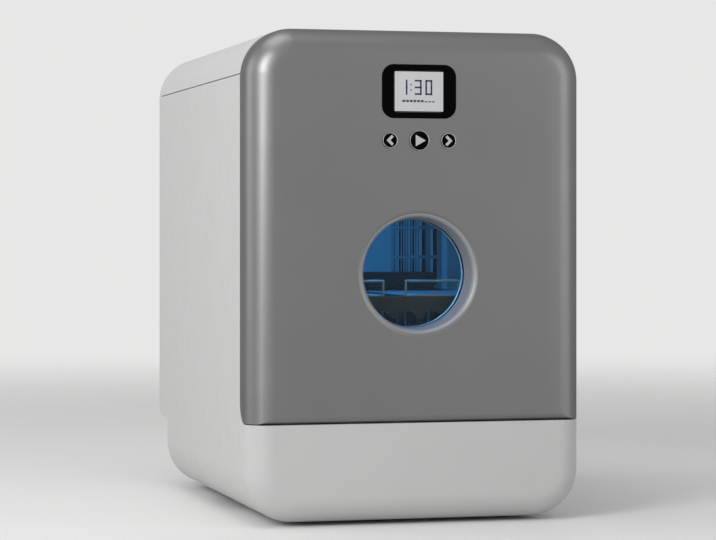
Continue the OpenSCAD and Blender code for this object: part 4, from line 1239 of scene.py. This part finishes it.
@dataclass
class Chamber:
    """The slatted grille in the wash chamber's rear wall, the near-black sheet of painted shade behind it,
    and the chamber's lamp.
    """

    shop: Shop
    wall_t: float = 2.5
    panel_w: float = 60.0
    panel_h: float = 142.0
    post_w: float = 6.0
    slots: int = 4
    slot_w: float = 7.5
    slot_step: float = 13.5
    rows: int = 4
    row_step: float = 34.0
    row_h: float = 4.0
    row_start: float = 1.0
    panel_front: float = 0.6
    panel_back: float = 0.1
    row_behind: float = 0.05
    slat: float = 1.1
    slat_pitch: float = 3.2
    slats_w: float = 32.0
    slats_in: float = 1.0
    slats_short: float = 2.0
    slat_front: float = 1.7
    cross_front: float = 1.9
    cross_start: float = 2.4
    slat_back: float = 0.5
    slat_edge: float = 0.3
    slat_sharp: float = 40.0
    # size, depth behind the wall, folds and thickness of the near-black sheet of painted shade behind the
    # slots
    shade_felt_half: tuple[float, float] = (27.6, 68.6)
    shade_felt_back: float = 2.6
    shade_felt_fold: float = 1.4
    shade_felt_folds: float = 2.4
    shade_felt_t: float = 0.8
    lamp_below: float = 2.0
    lamp_power: float = 0.72
    lamp_colour: Triple = (0.03, 0.42, 1.0)

    def build(self) -> None:
        """Builds the chamber's fittings."""
        low = self.shop.box("fan_housing")[0]
        self.panel(low)
        self.slats(low)
        self.shade_felt(low)
        self.lamp()

    def panel(self, low: Vector) -> None:
        """Builds the panel round the drying slots, from the grille's lowest corner."""
        front, back = low.y - self.wall_t - self.panel_front, low.y - self.wall_t + self.panel_back
        left, right, top = low.x, low.x + self.panel_w, low.z + self.panel_h
        form = Form()
        form.bar((left, front, low.z), (left + self.post_w, back, top))
        for i in range(self.slots):
            x = left + self.post_w + i * self.slot_step + self.slot_w
            form.bar((x, front, low.z), (min(x + self.slot_step - self.slot_w, right), back, top))
        for j in range(self.rows + 1):
            z = low.z + self.row_start + j * self.row_step
            form.bar((left, front + self.row_behind, z), (right, back, z + self.row_h))
        self.shop.make(form, "drying_panel", "panel", "cabinet", "tub_plastic")

    def slats(self, low: Vector) -> None:
        """Builds the fine upright slats and the bars across them, from the grille's lowest corner."""
        wall = low.y - self.wall_t
        back = wall - self.slat_back
        foot, top = low.z + self.slats_short, low.z + self.panel_h - self.slats_short
        form = Form()
        x = low.x + self.slats_in
        while x < low.x + self.slats_w - self.slats_in:
            form.bar((x, wall - self.slat_front, foot), (x + self.slat, back, top))
            x += self.slat_pitch
        for j in range(self.rows + 1):
            z = low.z + self.cross_start + j * self.row_step
            form.bar((low.x, wall - self.cross_front, z), (low.x + self.slats_w, back, z + self.slat))
        form.round_edges(self.slat_edge, 1, self.slat_sharp)
        self.shop.make(form, "drying_grille", "tub_plastic", "cabinet", "tub_plastic")

    def shade_felt(self, low: Vector) -> None:
        """Builds a near-black folded sheet behind the slots, painted shade that keeps them dark, from the
        grille's lowest corner.
        """
        middle = (low.x + self.panel_w / 2, low.y + self.shade_felt_back, low.z + self.panel_h / 2)
        form = Form()
        bmesh.ops.create_grid(form.bm, x_segments=36, y_segments=1, size=1.0,
                              matrix=Matrix.Translation(middle) @ Matrix.Rotation(math.radians(90.0), 4, "X")
                              @ Matrix.Diagonal((*self.shade_felt_half, 1.0, 1.0)))
        for vert in form.bm.verts:
            vert.co.y += self.shade_felt_fold * math.sin((vert.co.x - low.x) * self.shade_felt_folds)
        bmesh.ops.solidify(form.bm, geom=form.bm.faces[:], thickness=self.shade_felt_t)
        # the sheet is painted shade: near-black, so the slots read dark
        self.shop.make(form, "slot_shade_sheet", "shade_felt", "cabinet", "dark_plastic")

    def lamp(self) -> None:
        """Adds the light that the LED strip casts into the chamber."""
        low, high = self.shop.box("light_bar")
        place = ((low.x + high.x) / 2 * MM, (low.y + high.y) / 2 * MM, (low.z - self.lamp_below) * MM)
        lamp = add_lamp("chamber_lamp", place, (high.x - low.x) * MM, (high.y - low.y) * MM, self.lamp_power)
        lamp.data.color = self.lamp_colour


@dataclass
class Fittings:
    """The plain moulded, pressed and cast parts, with their edges rounded as the tool leaves them."""

    shop: Shop
    widths: dict[str, float] = field(default_factory=lambda: {
        "feet": 0.8, "base_tray": 0.5, "front_frame": 0.5, "tub": 0.6, "rack_rails": 0.4, "hinge_arms": 0.4,
        "hinge_blocks": 0.4, "keeper_plates": 0.3, "door_magnets": 0.3, "light_bar": 0.3, "sump": 0.4,
        "spray_arm": 0.5, "spray_riser": 0.3, "arm_nut": 0.4, "wash_pump": 0.5, "drain_pump": 0.5,
        "water_tank": 1.0, "filler_neck": 0.3, "fan_housing": 0.4, "fan_rotor": 0.3, "inlet_valve": 0.4,
        "drain_spigot": 0.4, "mains_inlet": 0.4, "float": 0.4, "float_switch": 0.4, "rear_screws": 0.15,
        "door_gasket": 0.5, "lid_seal": 0.3})

    def build(self) -> None:
        """Rounds each part."""
        for node, width in self.widths.items():
            self.shop.soften(node, width)


@dataclass(frozen=True)
class Softbox:
    """A studio lamp: where it stands and the point that it faces, its size in metres and its watts."""

    name: str
    place: Triple
    target: Triple
    width: float
    height: float
    power: float

    def build(self) -> None:
        """Adds the lamp and turns it to its target."""
        lamp = add_lamp(self.name, self.place, self.width, self.height, self.power)
        lamp.rotation_euler = (Vector(self.target) - Vector(self.place)).to_track_quat("-Z", "Y").to_euler()


@dataclass
class Studio:
    """Floor, world, lamps and camera."""

    floor_colour: Triple = (0.78, 0.78, 0.775)
    floor_r_metres: float = 12.0
    fade_metres: tuple[float, float] = (0.9, 3.4)
    sky: Triple = (0.80, 0.80, 0.795)
    ambient: float = 0.42
    lamps: tuple[Softbox, ...] = (
        Softbox("left_softbox", (-1.82, -1.70, 1.20), (0.0, -0.1, 0.42), 0.95, 1.4, 36.0),
        Softbox("front_softbox", (-1.35, -2.95, 0.95), (0.0, -0.2, 0.30), 1.1, 1.3, 5.0),
        Softbox("top_softbox", (-0.6, -0.2, 2.4), (0.0, 0.0, 0.3), 1.6, 1.2, 12.5),
        Softbox("right_fill", (1.93, -1.74, 0.9), (0.0, 0.0, 0.25), 1.6, 1.6, 10.0),
        Softbox("left_fill", (-2.2, 0.6, 0.9), (0.0, 0.0, 0.3), 1.2, 1.6, 9.0))
    camera_place: Triple = (-0.6899, -2.647, 0.2894)
    camera_turn: float = -14.64
    lens: float = 127.17
    sensor_width: float = 36.0
    shift_y: float = -0.0527

    def build(self) -> None:
        """Builds the whole studio."""
        self.world()
        self.floor()
        for lamp in self.lamps:
            lamp.build()
        self.camera()

    def world(self) -> None:
        """Writes the world: pale to the camera, to gloss and through glass, softer as light."""
        world = bpy.data.worlds.new("studio")
        world.use_nodes = True
        bpy.context.scene.world = world
        world.node_tree.nodes.clear()
        wiring = Wiring(world.node_tree)
        path = wiring.node("ShaderNodeLightPath").outputs
        seen = wiring.node("ShaderNodeBackground", {"Color": (*self.sky, 1.0)})
        light = wiring.node("ShaderNodeBackground", {"Color": (1.0, 1.0, 1.0, 1.0), "Strength": self.ambient})
        direct = wiring.node("ShaderNodeMath", {0: path["Is Camera Ray"], 1: path["Is Glossy Ray"]},
                             operation="MAXIMUM")
        shown = wiring.node("ShaderNodeMath", {0: direct.outputs[0], 1: path["Is Transmission Ray"]},
                            operation="MAXIMUM")
        mix = wiring.node("ShaderNodeMixShader", {0: shown.outputs[0], 1: light.outputs[0],
                                                  2: seen.outputs[0]})
        wiring.node("ShaderNodeOutputWorld", {"Surface": mix.outputs[0]})

    def floor(self) -> None:
        """Builds the pale floor, which fades into the background far from the object."""
        bm = bmesh.new()
        bmesh.ops.create_circle(bm, cap_ends=True, segments=96, radius=self.floor_r_metres)
        mesh = bpy.data.meshes.new("floor")
        bm.to_mesh(mesh)
        bm.free()
        sheet = Sheet("floor")
        sheet.set(Roughness=0.6, Specular_IOR_Level=0.25,
                  Base_Color=sheet.tinted(self.floor_colour, sheet.mottle(2.0, 0.99, 1.01)))
        reach = sheet.node("ShaderNodeVectorMath", {0: sheet.coords()}, operation="LENGTH")
        near, far = self.fade_metres
        fade = sheet.node("ShaderNodeMapRange", {"Value": reach.outputs["Value"], "From Min": near,
                                                 "From Max": far}, interpolation_type="SMOOTHSTEP")
        clear = sheet.node("ShaderNodeBsdfTransparent")
        mix = sheet.node("ShaderNodeMixShader", {0: fade.outputs["Result"], 1: sheet.shader.outputs[0],
                                                 2: clear.outputs[0]})
        sheet.feed(sheet.tree.nodes["Material Output"], {"Surface": mix.outputs[0]})
        mesh.materials.append(sheet.material)
        floor = add_object("floor", mesh)

    def camera(self) -> None:
        """Adds the camera, level and seen from the front left."""
        data = bpy.data.cameras.new("camera")
        data.lens, data.sensor_width, data.shift_y = self.lens, self.sensor_width, self.shift_y
        camera = add_object("camera", data)
        camera.location = self.camera_place
        camera.rotation_euler = (math.radians(90.0), 0.0, math.radians(self.camera_turn))
        bpy.context.scene.camera = camera


@dataclass
class Dishwasher:
    """The whole object: every sub-assembly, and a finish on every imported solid."""

    shop: Shop

    def build(self) -> None:
        """Dresses all solids by their slots, then builds the finer pieces."""
        for node, slot in self.shop.slots.items():
            self.shop.dress(node, slot)
        for assembly in (Cabinet, Door, Display, Buttons, Rack, Chamber, Fittings):
            assembly(self.shop).build()


def main() -> None:
    """Builds the scene."""
    logging.basicConfig(level=logging.INFO, format="%(name)s: %(message)s")
    for leftover in list(bpy.data.objects):
        bpy.data.objects.remove(leftover)
    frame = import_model()
    bpy.context.scene.view_settings.view_transform = "Standard"
    Studio().build()
    Dishwasher(Shop(frame)).build()


if __name__ == "__main__":
    main()
